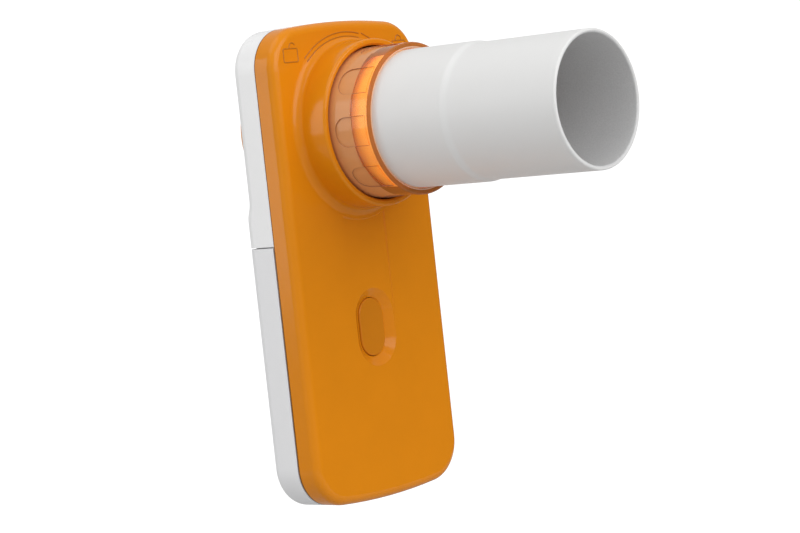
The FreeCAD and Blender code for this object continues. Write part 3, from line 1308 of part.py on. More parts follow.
def rotor_vane():
    """Flat two-bladed vane on a sleeve, which chops the infrared beam as it turns."""
    body = new_body("rotor_vane")
    sleeve = section(body, "SleeveProfile")
    front = "(Sizes.beam_depth + Sizes.vane_length / 2)"
    back = "(Sizes.beam_depth - Sizes.vane_length / 2)"
    bore = "(Sizes.shaft_radius + Sizes.shaft_gap / 2)"
    outer = "(Sizes.shaft_radius + Sizes.vane_sleeve)"
    lathe(sleeve, [(front, bore), (front, outer), (back, outer), (back, bore)])
    revolve(body, "Sleeve", sleeve)
    for name, side in (("LeftBlade", "-"), ("RightBlade", "")):
        blade = facing(body, f"{name}Outline", back)
        root = f"{side}(Sizes.shaft_radius + Sizes.vane_sleeve / 2)"
        tip = f"{side}(Sizes.airway_radius - Sizes.vane_margin)"
        left, right = (tip, root) if side else (root, tip)
        rectangle(blade, left, right, "-Sizes.vane_wall / 2", "Sizes.vane_wall / 2")
        pad(body, name, blade, "Sizes.vane_length")
    return body


def mouthpiece():
    """White tube with a slight step, a little wider where the turbine holds it."""
    body = new_body("mouthpiece")
    step = f"({MOUTH_START} + Sizes.mouth_step)"
    step_end = f"({MOUTH_START} + Sizes.mouth_step + Sizes.step_taper)"
    profile = section(body, "MouthProfile")
    wall = "Sizes.mouth_wall"
    corners = [
        (MOUTH_START, f"Sizes.mouth_seat_radius - {wall}"),
        (MOUTH_START, "Sizes.mouth_seat_radius"),
        (step, "Sizes.mouth_seat_radius"),
        (step_end, "Sizes.mouth_radius"),
        (MOUTH_END, "Sizes.mouth_radius"),
        (MOUTH_END, f"Sizes.mouth_radius - {wall}"),
        (step_end, f"Sizes.mouth_radius - {wall}"),
        (step, f"Sizes.mouth_seat_radius - {wall}"),
    ]
    tube = revolve(body, "MouthTube", lathe(profile, corners))
    rims = either(
        hoop("Sizes.mouth_radius", MOUTH_END),
        hoop(f"Sizes.mouth_radius - {wall}", MOUTH_END),
    )
    chamfer(body, "MouthRim", tube, rims, "Sizes.mouth_bevel")
    return body


def place(piece, height):
    """Sets a piece on the point of the back that the hand holds."""
    piece.setExpression(".Placement.Base.z", f"{height} - Sizes.grip_height")


chip = ("Sizes.chip_height", "Sizes.chip_size", "Sizes.chip_size", "Sizes.part_reach")
module_middle = f"({MODULE_TOP} - Sizes.module_length / 2)"
module = (module_middle, "Sizes.module_width", "Sizes.module_length", "Sizes.module_reach")
crystal = ("Sizes.crystal_height", "Sizes.crystal_length", "Sizes.crystal_width", "Sizes.part_reach")
casing = [
    front_cover(),
    back_shell(),
    battery_cover(),
    power_key(),
    circuit_board(),
    block_on_board("processor_chip", *chip),
    block_on_board("radio_module", *module),
    block_on_board("quartz_crystal", *crystal),
    board_capacitors(),
    switch_body(),
    switch_plunger(),
    infrared_part("infrared_emitter", -1),
    infrared_part("infrared_detector", 1),
    bridge_contact(),
    positive_contact(),
    top_contact("negative_contact", ""),
    housing_screws(),
]
airway = [
    turbine_housing(),
    swirler("front_swirler", "(Sizes.front_seat + Sizes.swirl_length)", "Sizes.swirl_length", 1),
    swirler("rear_swirler", "Sizes.rear_seat", "Sizes.rear_swirl_length", -1),
    pivot_bearing("front_bearing", "Sizes.front_seat", 1),
    pivot_bearing("rear_bearing", "Sizes.rear_seat", -1),
    rotor_shaft(),
    rotor_vane(),
    mouthpiece(),
]
left_foot = "(Sizes.bay_foot + Sizes.contact_wall + Sizes.spring_length)"
right_foot = "(Sizes.bay_foot + Sizes.contact_wall + Sizes.contact_rise)"
cells = [
    cell("left_cell", "-", left_foot, True),
    cell("right_cell", "", right_foot, False),
    contact_spring("left_spring", "-", "(Sizes.bay_foot + Sizes.contact_wall)"),
    contact_spring("right_spring", "", f"({right_foot} + Sizes.cell_length)"),
]
for piece in casing:
    place(piece, "0")
for piece in airway:
    place(piece, AXIS)
doc.recompute()

for item in doc.Objects:
    if "Invalid" in item.State or "Error" in item.State:
        raise ValueError(f"{item.Label} failed: {item.State}")

os.makedirs("parts", exist_ok=True)
for piece in casing + airway + cells:
    if piece.Shape.isNull() or not piece.Shape.isValid():
        raise ValueError(f"{piece.Label} has no sound shape")
    piece.Shape.exportStep(os.path.join("parts", f"{piece.Label}.step"))
    print(f"{piece.Label}: {len(piece.Shape.Solids)} solid, {piece.Shape.Volume:.1f} mm3")
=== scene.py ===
import math

import bmesh
import bpy
import numpy as np
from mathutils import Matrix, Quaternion, Vector


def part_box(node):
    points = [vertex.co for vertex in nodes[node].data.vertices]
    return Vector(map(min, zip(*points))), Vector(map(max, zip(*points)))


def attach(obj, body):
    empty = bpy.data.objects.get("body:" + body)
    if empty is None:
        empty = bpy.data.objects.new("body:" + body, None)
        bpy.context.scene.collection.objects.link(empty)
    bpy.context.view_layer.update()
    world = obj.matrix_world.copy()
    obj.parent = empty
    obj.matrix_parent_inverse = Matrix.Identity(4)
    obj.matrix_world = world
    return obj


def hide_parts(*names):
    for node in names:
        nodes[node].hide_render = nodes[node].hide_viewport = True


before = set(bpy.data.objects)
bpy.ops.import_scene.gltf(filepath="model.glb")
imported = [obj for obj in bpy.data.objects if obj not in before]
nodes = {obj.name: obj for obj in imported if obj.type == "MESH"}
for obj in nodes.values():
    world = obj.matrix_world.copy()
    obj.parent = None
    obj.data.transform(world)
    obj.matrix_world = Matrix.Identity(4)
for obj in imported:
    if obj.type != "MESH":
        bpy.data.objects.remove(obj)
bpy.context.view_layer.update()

# Lengths are in metres: MM turns millimetres into them.
MM = 0.001

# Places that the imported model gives. The airway runs along -Y through AXIS_X and AXIS_Z.
tube_low, tube_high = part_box("mouthpiece")
AXIS_X = (tube_low.x + tube_high.x) / 2
AXIS_Z = (tube_low.z + tube_high.z) / 2
TUBE_REACH = -tube_low.y
TUBE_LENGTH = tube_high.y - tube_low.y
HOUSING_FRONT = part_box("turbine_housing")[0].y
CASING_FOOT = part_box("front_cover")[0].z

# Depths along -Y of the flat face and of the joint line between the two shells.
FACE = 14.1 * MM
PARTING = 8.3 * MM

# Joint line, a painted shadow: where it starts on Y, and the share of the shell's colour that it
# keeps.
SEAM_SHADOW_WIDTH = 0.28 * MM
SEAM_SHADOW_START = -(PARTING + SEAM_SHADOW_WIDTH)
SEAM_SHADOW_SHARE = 0.3

# Collar round the turbine: where its soft root meets the face, and the radius of that root.
COLLAR_ROOT_RADIUS = 20.9 * MM
COLLAR_BLEND = 2.0 * MM

# Front ring of the turbine: its outer radius, and the middle of its wall, which parts its outer
# surface from its socket.
RING_RADIUS = 17.0 * MM
WALL_MIDDLE = 16.2 * MM

# Front end of the turbine: its depth, and the painted highlight, a pale line from the socket out to
# a radius.
FRONT_END_DEPTH = 0.32 * MM
SOCKET_HIGHLIGHT_RADIUS = 15.98 * MM

# On the outer surface the clear part begins this much before the tube inside, for a slanted view
# through it.
SIGHT_SHIFT = 1.35 * MM

# Slant, from 0 square to the view to 1 edge on, past which a clear wall shows its own colour.
FLAT_ANGLE = 0.625

# Flow marks in the clear plastic: size, stretch along the axis, height, and darkest and lightest.
FLOW_SIZE = 2.4 * MM
FLOW_STRETCH = (1, 0.25, 1)
FLOW_DEPTH = 0.004 * MM
FLOW_DARK = (0.94, 0.94, 0.94, 1)
FLOW_LIGHT = (1.06, 1.06, 1.06, 1)

# Looks of the turbine's plastic: tint of what passes through it, and body colour.
# The milky look's body colour holds a painted sheen: its grey-blue share stands in for the
# reflection of the white studio.
MILKY_AND_SHEEN = ((0.1, 0.04, 0.02, 1), (0.74, 0.33, 0.125, 1))
CLEAR = ((0.96, 0.79, 0.45, 1), (0.24, 0.1, 0.04, 1))
DEEP = ((0.1, 0.03, 0.01, 1), (0.43, 0.145, 0.03, 1))
# The pale look is a painted highlight on the socket's edge.
PALE_HIGHLIGHT = ((0.1, 0.03, 0.01, 1), (0.8, 0.5, 0.34, 1))

# Mouthpiece: radius of its seat in the turbine, radius of its mouth end, wall, and the step
# between the two radii. The inside's look, a painted shade, gives way to that of the outside over
# LOOK_RADII.
SEAT_RADIUS = 15.4 * MM
MOUTH_RADIUS = 15.0 * MM
TUBE_WALL = 0.97 * MM
STEP_AT = 25.2 * MM
STEP_LENGTH = 2.4 * MM
LOOK_RADII = (14.25 * MM, 14.6 * MM)
TUBE_SEGMENTS = 192

# Signs on the face, whose line is in painted shade: radius of their line, and how far its middle is
# sunk.
SIGN_RADIUS = 0.16 * MM
SIGN_SINK = 0.04 * MM

# Padlocks: half width and height of the box, its corner, radius of the bow and foot of its arc.
LOCK_HALF = 2.3 * MM
LOCK_HEIGHT = 3.0 * MM
LOCK_CORNER = 0.4 * MM
BOW_RADIUS = 0.95 * MM
BOW_RISE = 0.3 * MM
BOW_OPEN_END = 20
LOCK_OFFSET = 18.4 * MM
LOCK_FOOT = 65.5 * MM
LOCK_SWING = 0.7 * MM

# Arrow round the collar: its two radii, the angles of its ends in degrees, and its open head.
ARROW_RADII = (20.15 * MM, 21.15 * MM)
ARROW_ENDS = (132, 76)
TIP_ANGLE = 62
OUTER_BARB_ANGLE = 75
INNER_BARB_ANGLE = 68
BARB = 0.3 * MM

# Thumb pads round the turbine's front ring, and the line in painted shade that outlines them.
PAD_COUNT = 9
PAD_TURN = math.radians(24.85)
PAD_HALF_ANGLE = math.radians(11.25)
PAD_FRONT = -32.4 * MM
PAD_BACK = -23.6 * MM
PAD_CORNER = 2.8 * MM
PAD_LINE = 0.08 * MM

# Points round a thin line and on a quarter of a round corner, and the gap that merging closes.
BEAD_POINTS = 10
CORNER_POINTS = 6
MERGE_GAP = 0.001 * MM

# Camera at the place that the photograph was taken from.
VIEWPOINT = Vector((-443.71, -410.70, 51.91)) * MM
AIM = Vector((0.75194675, 0.65663183, -0.0584015))
ROLL = math.radians(-6.225)
FOCAL_LENGTH = 117.9
CLIP_START = 10 * MM

# Radiance of the studio: straight down, straight up, to the right in front as a share, and
# where the camera looks.
SKY_LOW = 0.26
SKY_HIGH = 0.61
RIGHT_FRONT = 0.3
RIGHT_FRONT_WAY = (0.75, -0.66, -0.06)
WHITE_AHEAD = 1.15

# Floor, in metres: drop below the object, first ring and rim, and where it starts and ends to
# turn white. Its grey, and the glow at its rim.
FLOOR_DROP = 0.2
FLOOR_MIDDLE = 0.001
FLOOR_RINGS = (0.05, 0.9)
FLOOR_TURN = (0.5, 0.88)
FLOOR_GREY = (0.5, 0.5, 0.5, 1)
FLOOR_GLOW = 0.3

# Softboxes: place, width, height and power in watts. All face LIT_POINT.
LIT_POINT = Vector((0, 0, 0.03))
SOFTBOXES = {
    "key": ((-0.05, -1.25, 0.58), 1.5, 1.0, 10.8),
    "overhead": ((-0.5, 0.2, 1.25), 1.0, 1.0, 3.3),
    "left_fill": ((-1.3, 0.0, 0.3), 1.0, 1.0, 0.75),
    "left_panel": ((-1.0, 0.97, 0.33), 0.42, 0.85, 2.2),
}

PURE_WHITE = (1, 1, 1, 1)

# Places of a Mix node's first, second and result sockets, by the kind of value that it mixes.
MIX_SOCKETS = {"FLOAT": (2, 3, 0), "RGBA": (6, 7, 2)}


def linear(red, green, blue):
    """Scene-linear colour from the 0 to 255 values that a screen shows."""
    share = np.array((red, green, blue)) / 255
    low = share / 12.92
    high = ((share + 0.055) / 1.055) ** 2.4
    return tuple(float(v) for v in np.where(share <= 0.04045, low, high)) + (1.0,)


def shaded(colour, factor):
    """Colour made darker or lighter by a factor, and no brighter than white."""
    return tuple(min(1.0, channel * factor) for channel in colour[:3]) + (1.0,)


# Surfaces worked out on grids.


def grid_piece(name, points, closed=False):
    """Mesh from an array of points [row, column, xyz]: each cell of the grid is a quad.

    The columns close into a ring, and the rows do too where closed is set.
    """
    rows, columns, _ = points.shape
    index = np.arange(rows * columns).reshape(rows, columns)
    right = np.roll(index, -1, axis=1)
    below = np.roll(index, -1, axis=0)
    corner = np.roll(below, -1, axis=1)
    faces = np.stack([index, right, corner, below], axis=-1)
    if not closed:
        faces = faces[:-1]
    mesh = bpy.data.meshes.new(name)
    mesh.from_pydata(points.reshape(-1, 3).tolist(), [], faces.reshape(-1, 4).tolist())
    mesh.polygons.foreach_set("use_smooth", [True] * len(mesh.polygons))
    piece = bpy.data.objects.new(name, mesh)
    bpy.context.scene.collection.objects.link(piece)
    return piece


def turned(name, profile, segments):
    """Turned piece: a closed profile of (depth, radius) pairs carried round the airway axis.

    A point at angle a is (axis + radius cos a, -depth, axis + radius sin a).
    """
    depth, radius = np.asarray(profile).T
    angle = np.linspace(0, 2 * math.pi, segments, endpoint=False)
    ring = np.stack(
        [
            AXIS_X + radius[:, None] * np.cos(angle),
            np.broadcast_to(-depth[:, None], (len(depth), segments)),
            AXIS_Z + radius[:, None] * np.sin(angle),
        ],
        axis=-1,
    )
    return grid_piece(name, ring, closed=True)


def arc_points(middle, radius, start, end, count):
    """Flat points on an arc, from angle start to angle end in degrees.

    A point at angle a is (middle + radius cos a, middle + radius sin a).
    """
    angle = np.radians(np.linspace(start, end, count))
    across = middle[0] + radius * np.cos(angle)
    up = middle[1] + radius * np.sin(angle)
    return np.stack([across, up], axis=-1)


def straight(start, end, count):
    """Flat points spread evenly from start to end."""
    return np.linspace(start, end, count)


def soft_step(share):
    """0 to 1 with level ends: 3 share squared less 2 share cubed."""
    share = np.clip(share, 0, 1)
    return share * share * (3 - 2 * share)


# Materials.


def blank(name):
    """New material, its node tree and its shader."""
    material = bpy.data.materials.new(name)
    material.use_nodes = True
    tree = material.node_tree
    return material, tree, tree.nodes["Principled BSDF"]


def add(tree, kind, **settings):
    """New node with its settings."""
    node = tree.nodes.new(kind)
    for key, value in settings.items():
        setattr(node, key, value)
    return node


def feed(tree, socket, value):
    """Links a socket to another one, or gives it a fixed value."""
    if isinstance(value, bpy.types.NodeSocket):
        tree.links.new(value, socket)
    else:
        socket.default_value = value


def maths(tree, operation, first, second):
    """Result of an operation on two values."""
    node = add(tree, "ShaderNodeMath", operation=operation)
    feed(tree, node.inputs[0], first)
    feed(tree, node.inputs[1], second)
    return node.outputs["Value"]


def mixed(tree, share, first, second, kind="RGBA", blend_type="MIX"):
    """First value where share is 0, second where it is 1."""
    node = add(tree, "ShaderNodeMix", data_type=kind, blend_type=blend_type)
    first_at, second_at, result_at = MIX_SOCKETS[kind]
    feed(tree, node.inputs["Factor"], share)
    feed(tree, node.inputs[first_at], first)
    feed(tree, node.inputs[second_at], second)
    return node.outputs[result_at]


def spread(tree, value, low, high, start=0, end=1, interpolation="LINEAR"):
    """Maps a value that runs from start to end onto the range from low to high."""
    node = add(tree, "ShaderNodeMapRange", interpolation_type=interpolation)
    node.inputs["From Min"].default_value = start
    node.inputs["From Max"].default_value = end
    node.inputs["To Min"].default_value = low
    node.inputs["To Max"].default_value = high
    tree.links.new(value, node.inputs["Value"])
    return node.outputs["Result"]


def noise(tree, size, detail=2.0, stretch=(1, 1, 1)):
    """Noise whose features are about size across, on the piece's own coordinates."""
    place = add(tree, "ShaderNodeTexCoord")
    mapping = add(tree, "ShaderNodeMapping")
    mapping.inputs["Scale"].default_value = stretch
    texture = add(tree, "ShaderNodeTexNoise")
    texture.inputs["Scale"].default_value = 1 / size
    texture.inputs["Detail"].default_value = detail
    tree.links.new(place.outputs["Object"], mapping.inputs["Vector"])
    tree.links.new(mapping.outputs["Vector"], texture.inputs["Vector"])
    return texture.outputs["Fac"]


def bump(tree, height, depth):
    """Bump whose full height is depth."""
    node = add(tree, "ShaderNodeBump")
    node.inputs["Strength"].default_value = 1.0
    node.inputs["Distance"].default_value = depth
    tree.links.new(height, node.inputs["Height"])
    return node.outputs["Normal"]


def beyond(tree, axis, edge, above=True):
    """1 where the object coordinate on an axis is past an edge, and 0 elsewhere."""
    place = add(tree, "ShaderNodeTexCoord")
    split = add(tree, "ShaderNodeSeparateXYZ")
    tree.links.new(place.outputs["Object"], split.inputs["Vector"])
    operation = "GREATER_THAN" if above else "LESS_THAN"
    return maths(tree, operation, split.outputs[axis], edge)


def axis_distance(tree):
    """Distance of a surface point from the airway axis."""
    place = add(tree, "ShaderNodeTexCoord")
    centred = add(tree, "ShaderNodeVectorMath", operation="SUBTRACT")
    centred.inputs[1].default_value = (AXIS_X, 0, AXIS_Z)
    flat = add(tree, "ShaderNodeVectorMath", operation="MULTIPLY")
    flat.inputs[1].default_value = (1, 0, 1)
    radius = add(tree, "ShaderNodeVectorMath", operation="LENGTH")
    tree.links.new(place.outputs["Object"], centred.inputs[0])
    tree.links.new(centred.outputs["Vector"], flat.inputs[0])
    tree.links.new(flat.outputs["Vector"], radius.inputs[0])
    return radius.outputs["Value"]


def plastic(
    name, colour, roughness, grain, grain_depth, drift=0.05, cloud=0.04, specular=0.5, seam_shadow=None
):
    """Moulded plastic: fine spark-eroded grain, slightly cloudy pigment and a drifting gloss.

    A seam shadow is the depth (Y) from which the plastic is painted dark, as the shadow in the
    joint line between two shells.
    """
    cloud_size, gloss_size = 9 * MM, 14 * MM
    material, tree, shader = blank(name)
    clouds = noise(tree, cloud_size, 3)
    tint = mixed(tree, clouds, shaded(colour, 1 - cloud), shaded(colour, 1 + cloud))
    if seam_shadow is not None:
        # Painted shadow: the plastic behind the joint line is darkened.
        tint = mixed(tree, beyond(tree, "Y", seam_shadow), tint, shaded(colour, SEAM_SHADOW_SHARE))
    tree.links.new(tint, shader.inputs["Base Color"])
    gloss = spread(tree, noise(tree, gloss_size, 4), roughness - drift, roughness + drift)
    tree.links.new(gloss, shader.inputs["Roughness"])
    tree.links.new(bump(tree, noise(tree, grain, 2), grain_depth), shader.inputs["Normal"])
    shader.inputs["Specular IOR Level"].default_value = specular
    return material


def clear_plastic(name, roughness, milky_and_sheen, clear, deep, pale_highlight):
    """See-through plastic: what lies behind it, tinted, and the plastic's own body colour added.

    Each look is a pair (tint of what passes, body). Round the mouthpiece the plastic is clear.
    There a wall that is seen at a flat angle, and the front end, show the deep look, and the edge
    at the mouthpiece is pale with a painted highlight. Elsewhere the plastic is milky, with a
    painted sheen in its body colour. Flow marks run along the axis.
    """
    gloss_size, specular = 6 * MM, 0.22
    material, tree, shader = blank(name)
    radius = axis_distance(tree)
    outside = maths(tree, "GREATER_THAN", radius, WALL_MIDDLE)
    tube_end = TUBE_LENGTH - TUBE_REACH
    round_tube = beyond(tree, "Y", tube_end, above=False)
    round_tube_shifted = beyond(tree, "Y", tube_end - SIGHT_SHIFT, above=False)
    clear_zone = mixed(tree, outside, round_tube, round_tube_shifted, kind="FLOAT")

    slant = add(tree, "ShaderNodeLayerWeight")
    slant.inputs["Blend"].default_value = 0.5
    flat = maths(tree, "GREATER_THAN", slant.outputs["Facing"], FLAT_ANGLE)
    front_end = beyond(tree, "Y", HOUSING_FRONT + FRONT_END_DEPTH, above=False)
    deep_zone = maths(tree, "MAXIMUM", maths(tree, "MULTIPLY", flat, outside), front_end)
    # Painted highlight: the socket's edge on the front end is pale.
    inner = maths(tree, "LESS_THAN", radius, SOCKET_HIGHLIGHT_RADIUS)
    highlight_zone = maths(tree, "MULTIPLY", inner, front_end)

    def look(part):
        """Part 0 of the looks is the tint of what passes, and part 1 the body colour."""
        wall = mixed(tree, deep_zone, clear[part], deep[part])
        edged = mixed(tree, highlight_zone, wall, pale_highlight[part])
        return mixed(tree, clear_zone, milky_and_sheen[part], edged)

    flow = noise(tree, FLOW_SIZE, 2, FLOW_STRETCH)
    streaks = mixed(tree, flow, FLOW_DARK, FLOW_LIGHT)
    body = mixed(tree, 1.0, look(1), streaks, blend_type="MULTIPLY")
    tree.links.new(body, shader.inputs["Base Color"])
    gloss = spread(tree, noise(tree, gloss_size, 3), roughness * 0.6, roughness * 1.4)
    tree.links.new(gloss, shader.inputs["Roughness"])
    shader.inputs["Specular IOR Level"].default_value = specular
    tree.links.new(bump(tree, flow, FLOW_DEPTH), shader.inputs["Normal"])
    passing = add(tree, "ShaderNodeBsdfTransparent")
    tree.links.new(look(0), passing.inputs["Color"])
    both = add(tree, "ShaderNodeAddShader")
    tree.links.new(passing.outputs["BSDF"], both.inputs[0])
    tree.links.new(shader.outputs["BSDF"], both.inputs[1])
    tree.links.new(both.outputs["Shader"], tree.nodes["Material Output"].inputs["Surface"])
    return material


def tube_plastic(name, outside, inside):
    """White tube: smooth and slightly cloudy outside, and a dimmer inside in painted shade with a
    fine speckle.
    """
    grain_size, cloud_size, gloss_size = 0.35 * MM, 8 * MM, 5 * MM
    material, tree, shader = blank(name)
    radius = axis_distance(tree)
    out_there = spread(tree, radius, 0, 1, *LOOK_RADII, interpolation="SMOOTHSTEP")
    grain = noise(tree, grain_size, 3)
    # Painted shade: the inside of the tube is a dimmer white than the outside.
    shaded_speckle = mixed(tree, grain, shaded(inside, 0.86), shaded(inside, 1.14))
    plain = mixed(tree, noise(tree, cloud_size, 2), shaded(outside, 0.985), outside)
    tint = mixed(tree, out_there, shaded_speckle, plain)
    tree.links.new(tint, shader.inputs["Base Color"])
    tree.links.new(bump(tree, grain, 0.006 * MM), shader.inputs["Normal"])
    gloss = spread(tree, noise(tree, gloss_size, 3), 0.42, 0.5)
    tree.links.new(gloss, shader.inputs["Roughness"])
    return material


def metal(name, colour, roughness, stretch=(1, 1, 8)):
    """Plated or turned metal with fine drawn marks."""
    mark_size, mark_depth, stain_size = 0.25 * MM, 0.003 * MM, 3 * MM
    material, tree, shader = blank(name)
    marks = noise(tree, mark_size, 3, stretch)
    stains = noise(tree, stain_size, 3)
    tint = mixed(tree, stains, shaded(colour, 0.92), shaded(colour, 1.06))
    tree.links.new(tint, shader.inputs["Base Color"])
    gloss = spread(tree, marks, roughness - 0.06, roughness + 0.1)
    tree.links.new(gloss, shader.inputs["Roughness"])
    tree.links.new(bump(tree, marks, mark_depth), shader.inputs["Normal"])
    shader.inputs["Metallic"].default_value = 1.0
    return material


def bands(tree, edges, colours):
    """Colours in bands along Z, changing at the edges."""
    tint = colours[0]
    for edge, colour in zip(edges, colours[1:]):
        tint = mixed(tree, beyond(tree, "Z", edge), tint, colour)
    return tint


def cell_skin(name, node, nub_up):
    """Cell: a printed sleeve with a coloured band near the nub, and bare metal at both ends."""
    low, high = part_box(node)
    nub, lip, band = 1.0 * MM, 1.2 * MM, 9 * MM
    sleeve = linear(44, 48, 56)
    ring = linear(196, 150, 60)
    steel = linear(190, 190, 188)
    if nub_up:
        edges = [low.z + lip, high.z - nub - lip - band, high.z - nub - lip]
        colours = [steel, sleeve, ring, steel]
    else:
        edges = [low.z + nub + lip, low.z + nub + lip + band, high.z - lip]
        colours = [steel, ring, sleeve, steel]
    material, tree, shader = blank(name)
    tree.links.new(bands(tree, edges, colours), shader.inputs["Base Color"])
    gloss = spread(tree, noise(tree, 2 * MM, 3), 0.22, 0.34)
    tree.links.new(gloss, shader.inputs["Roughness"])
    tree.links.new(bump(tree, noise(tree, 0.5 * MM, 2), 0.003 * MM), shader.inputs["Normal"])
    shader.inputs["Metallic"].default_value = 0.75
    return material


def board_skin(name):
    """Solder mask over tracks: raised lighter lines between darker fields."""
    field_size, track_width, track_depth = 5 * MM, 0.03, 0.03 * MM
    material, tree, shader = blank(name)
    place = add(tree, "ShaderNodeTexCoord")
    tracks = add(tree, "ShaderNodeTexBrick")
    tracks.inputs["Scale"].default_value = 1 / field_size
    tracks.inputs["Mortar Size"].default_value = track_width
    turn = add(tree, "ShaderNodeMapping")
    turn.inputs["Rotation"].default_value = (math.pi / 2, 0, 0)
    tree.links.new(place.outputs["Object"], turn.inputs["Vector"])
    tree.links.new(turn.outputs["Vector"], tracks.inputs["Vector"])
    mask = linear(16, 92, 52)
    tint = mixed(tree, tracks.outputs["Fac"], mask, shaded(mask, 1.5))
    tree.links.new(tint, shader.inputs["Base Color"])
    tree.links.new(bump(tree, tracks.outputs["Fac"], track_depth), shader.inputs["Normal"])
    shader.inputs["Roughness"].default_value = 0.3
    return material


orange = linear(231, 140, 17)
white = linear(250, 250, 250)
# The cover's white is greyer than the shell's: a painted shade for the darker side of the cover.
cover_white_shade = linear(243, 243, 244)
tube_outside = linear(238, 238, 237)
tube_inside_shade = linear(219, 219, 219)
skins = {
    "orange_shell": plastic(
        "orange_shell",
        orange,
        0.15,
        0.35 * MM,
        0.002 * MM,
        drift=0.03,
        specular=0.25,
        seam_shadow=SEAM_SHADOW_START,
    ),
    "orange_key": plastic(
        "orange_key", shaded(orange, 0.82), 0.3, 0.45 * MM, 0.03 * MM, specular=0.25
    ),
    "white_shell": plastic("white_shell", white, 0.28, 0.4 * MM, 0.003 * MM, cloud=0.01),
    "white_cover_shaded": plastic("white_cover_shaded", cover_white_shade, 0.36, 0.4 * MM, 0.004 * MM, cloud=0.01),
    "mouth_white": tube_plastic("mouth_white", tube_outside, tube_inside_shade),
    "turbine_clear": clear_plastic("turbine_clear", 0.1, MILKY_AND_SHEEN, CLEAR, DEEP, PALE_HIGHLIGHT),
    "insert_clear": clear_plastic("insert_clear", 0.12, MILKY_AND_SHEEN, MILKY_AND_SHEEN, MILKY_AND_SHEEN, PALE_HIGHLIGHT),
    # Grip lines are brown beads: painted shade of the thumb pads' steps.
    "grip_shade_line": plastic("grip_shade_line", linear(176, 112, 70), 0.3, 0.3 * MM, 0.002 * MM),
    # Sign lines are painted darker than the face: painted shade of engraved lines.
    "sign_shade_line": plastic("sign_shade_line", shaded(orange, 0.62), 0.3, 0.3 * MM, 0.002 * MM),
    "rotor_black": plastic("rotor_black", linear(30, 30, 31), 0.4, 0.3 * MM, 0.004 * MM),
    "chip_black": plastic("chip_black", linear(28, 28, 30), 0.5, 0.2 * MM, 0.006 * MM),
    "lens_dark": plastic("lens_dark", linear(40, 22, 44), 0.12, 0.5 * MM, 0.001 * MM),
    "stem_white": plastic("stem_white", linear(228, 226, 220), 0.45, 0.3 * MM, 0.003 * MM),
    "capacitor_tan": plastic("capacitor_tan", linear(170, 130, 86), 0.5, 0.2 * MM, 0.005 * MM),
    "board_green": board_skin("board_green"),
    "tin": metal("tin", linear(205, 204, 200), 0.3),
    "nickel": metal("nickel", linear(214, 210, 198), 0.25),
    "steel": metal("steel", linear(180, 180, 182), 0.3, stretch=(1, 8, 1)),
    "brass": metal("brass", linear(214, 176, 100), 0.25, stretch=(1, 8, 1)),
    "left_cell_skin": cell_skin("left_cell_skin", "left_cell", True),
    "right_cell_skin": cell_skin("right_cell_skin", "right_cell", False),
}
worn_by = {
    "front_cover": "orange_shell",
    "power_key": "orange_key",
    "back_shell": "white_shell",
    "battery_cover": "white_cover_shaded",
    "circuit_board": "board_green",
    "processor_chip": "chip_black",
    "radio_module": "tin",
    "quartz_crystal": "tin",
    "board_capacitors": "capacitor_tan",
    "switch_body": "chip_black",
    "switch_plunger": "stem_white",
    "infrared_emitter": "lens_dark",
    "infrared_detector": "lens_dark",
    "bridge_contact": "nickel",
    "positive_contact": "nickel",
    "negative_contact": "nickel",
    "left_spring": "nickel",
    "right_spring": "nickel",
    "left_cell": "left_cell_skin",
    "right_cell": "right_cell_skin",
    "housing_screws": "steel",
    "turbine_housing": "turbine_clear",
    "front_swirler": "insert_clear",
    "rear_swirler": "insert_clear",
    "front_bearing": "brass",
    "rear_bearing": "brass",
    "rotor_shaft": "steel",
    "rotor_vane": "rotor_black",
    "mouthpiece": "mouth_white",
}


def dress(piece, skin):
    """Gives a piece one of the skins."""
    piece.data.materials.clear()
    piece.data.materials.append(skins[skin])


for name, skin in worn_by.items():
    dress(nodes[name], skin)


def mouth_tube():
    """Mouthpiece: the radius goes from seat to mouth in a soft step, and the rims are round.

    The outer and inner lines run a wall apart and meet in half circles at both ends.
    """
    start = TUBE_REACH - TUBE_LENGTH
    half = TUBE_WALL / 2
    step_start = STEP_AT - STEP_LENGTH
    step_end = STEP_AT + 2 * STEP_LENGTH
    run = np.concatenate(
        [
            np.linspace(half, step_start, 12),
            np.linspace(step_start, step_end, 40)[1:],
            np.linspace(step_end, TUBE_LENGTH - half, 14)[1:],
        ]
    )
    share = soft_step((run - STEP_AT) / STEP_LENGTH)
    outer = SEAT_RADIUS + (MOUTH_RADIUS - SEAT_RADIUS) * share
    rim = arc_points((TUBE_REACH - half, MOUTH_RADIUS - half), half, 90, -90, 14)
    root = arc_points((start + half, SEAT_RADIUS - half), half, -90, -270, 10)
    out = np.stack([start + run, outer], axis=-1)
    inside = np.stack([start + run, outer - TUBE_WALL], axis=-1)[::-1]
    loop = np.concatenate([out[:-1], rim, inside[1:-1], root[:-1]])
    tube = turned("mouth_tube", loop[::-1], TUBE_SEGMENTS)
    dress(tube, "mouth_white")
    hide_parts("mouthpiece")
    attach(tube, "mouthpiece")


# Raised lines on the face and on the turbine, in painted shade of engraved lines and steps.


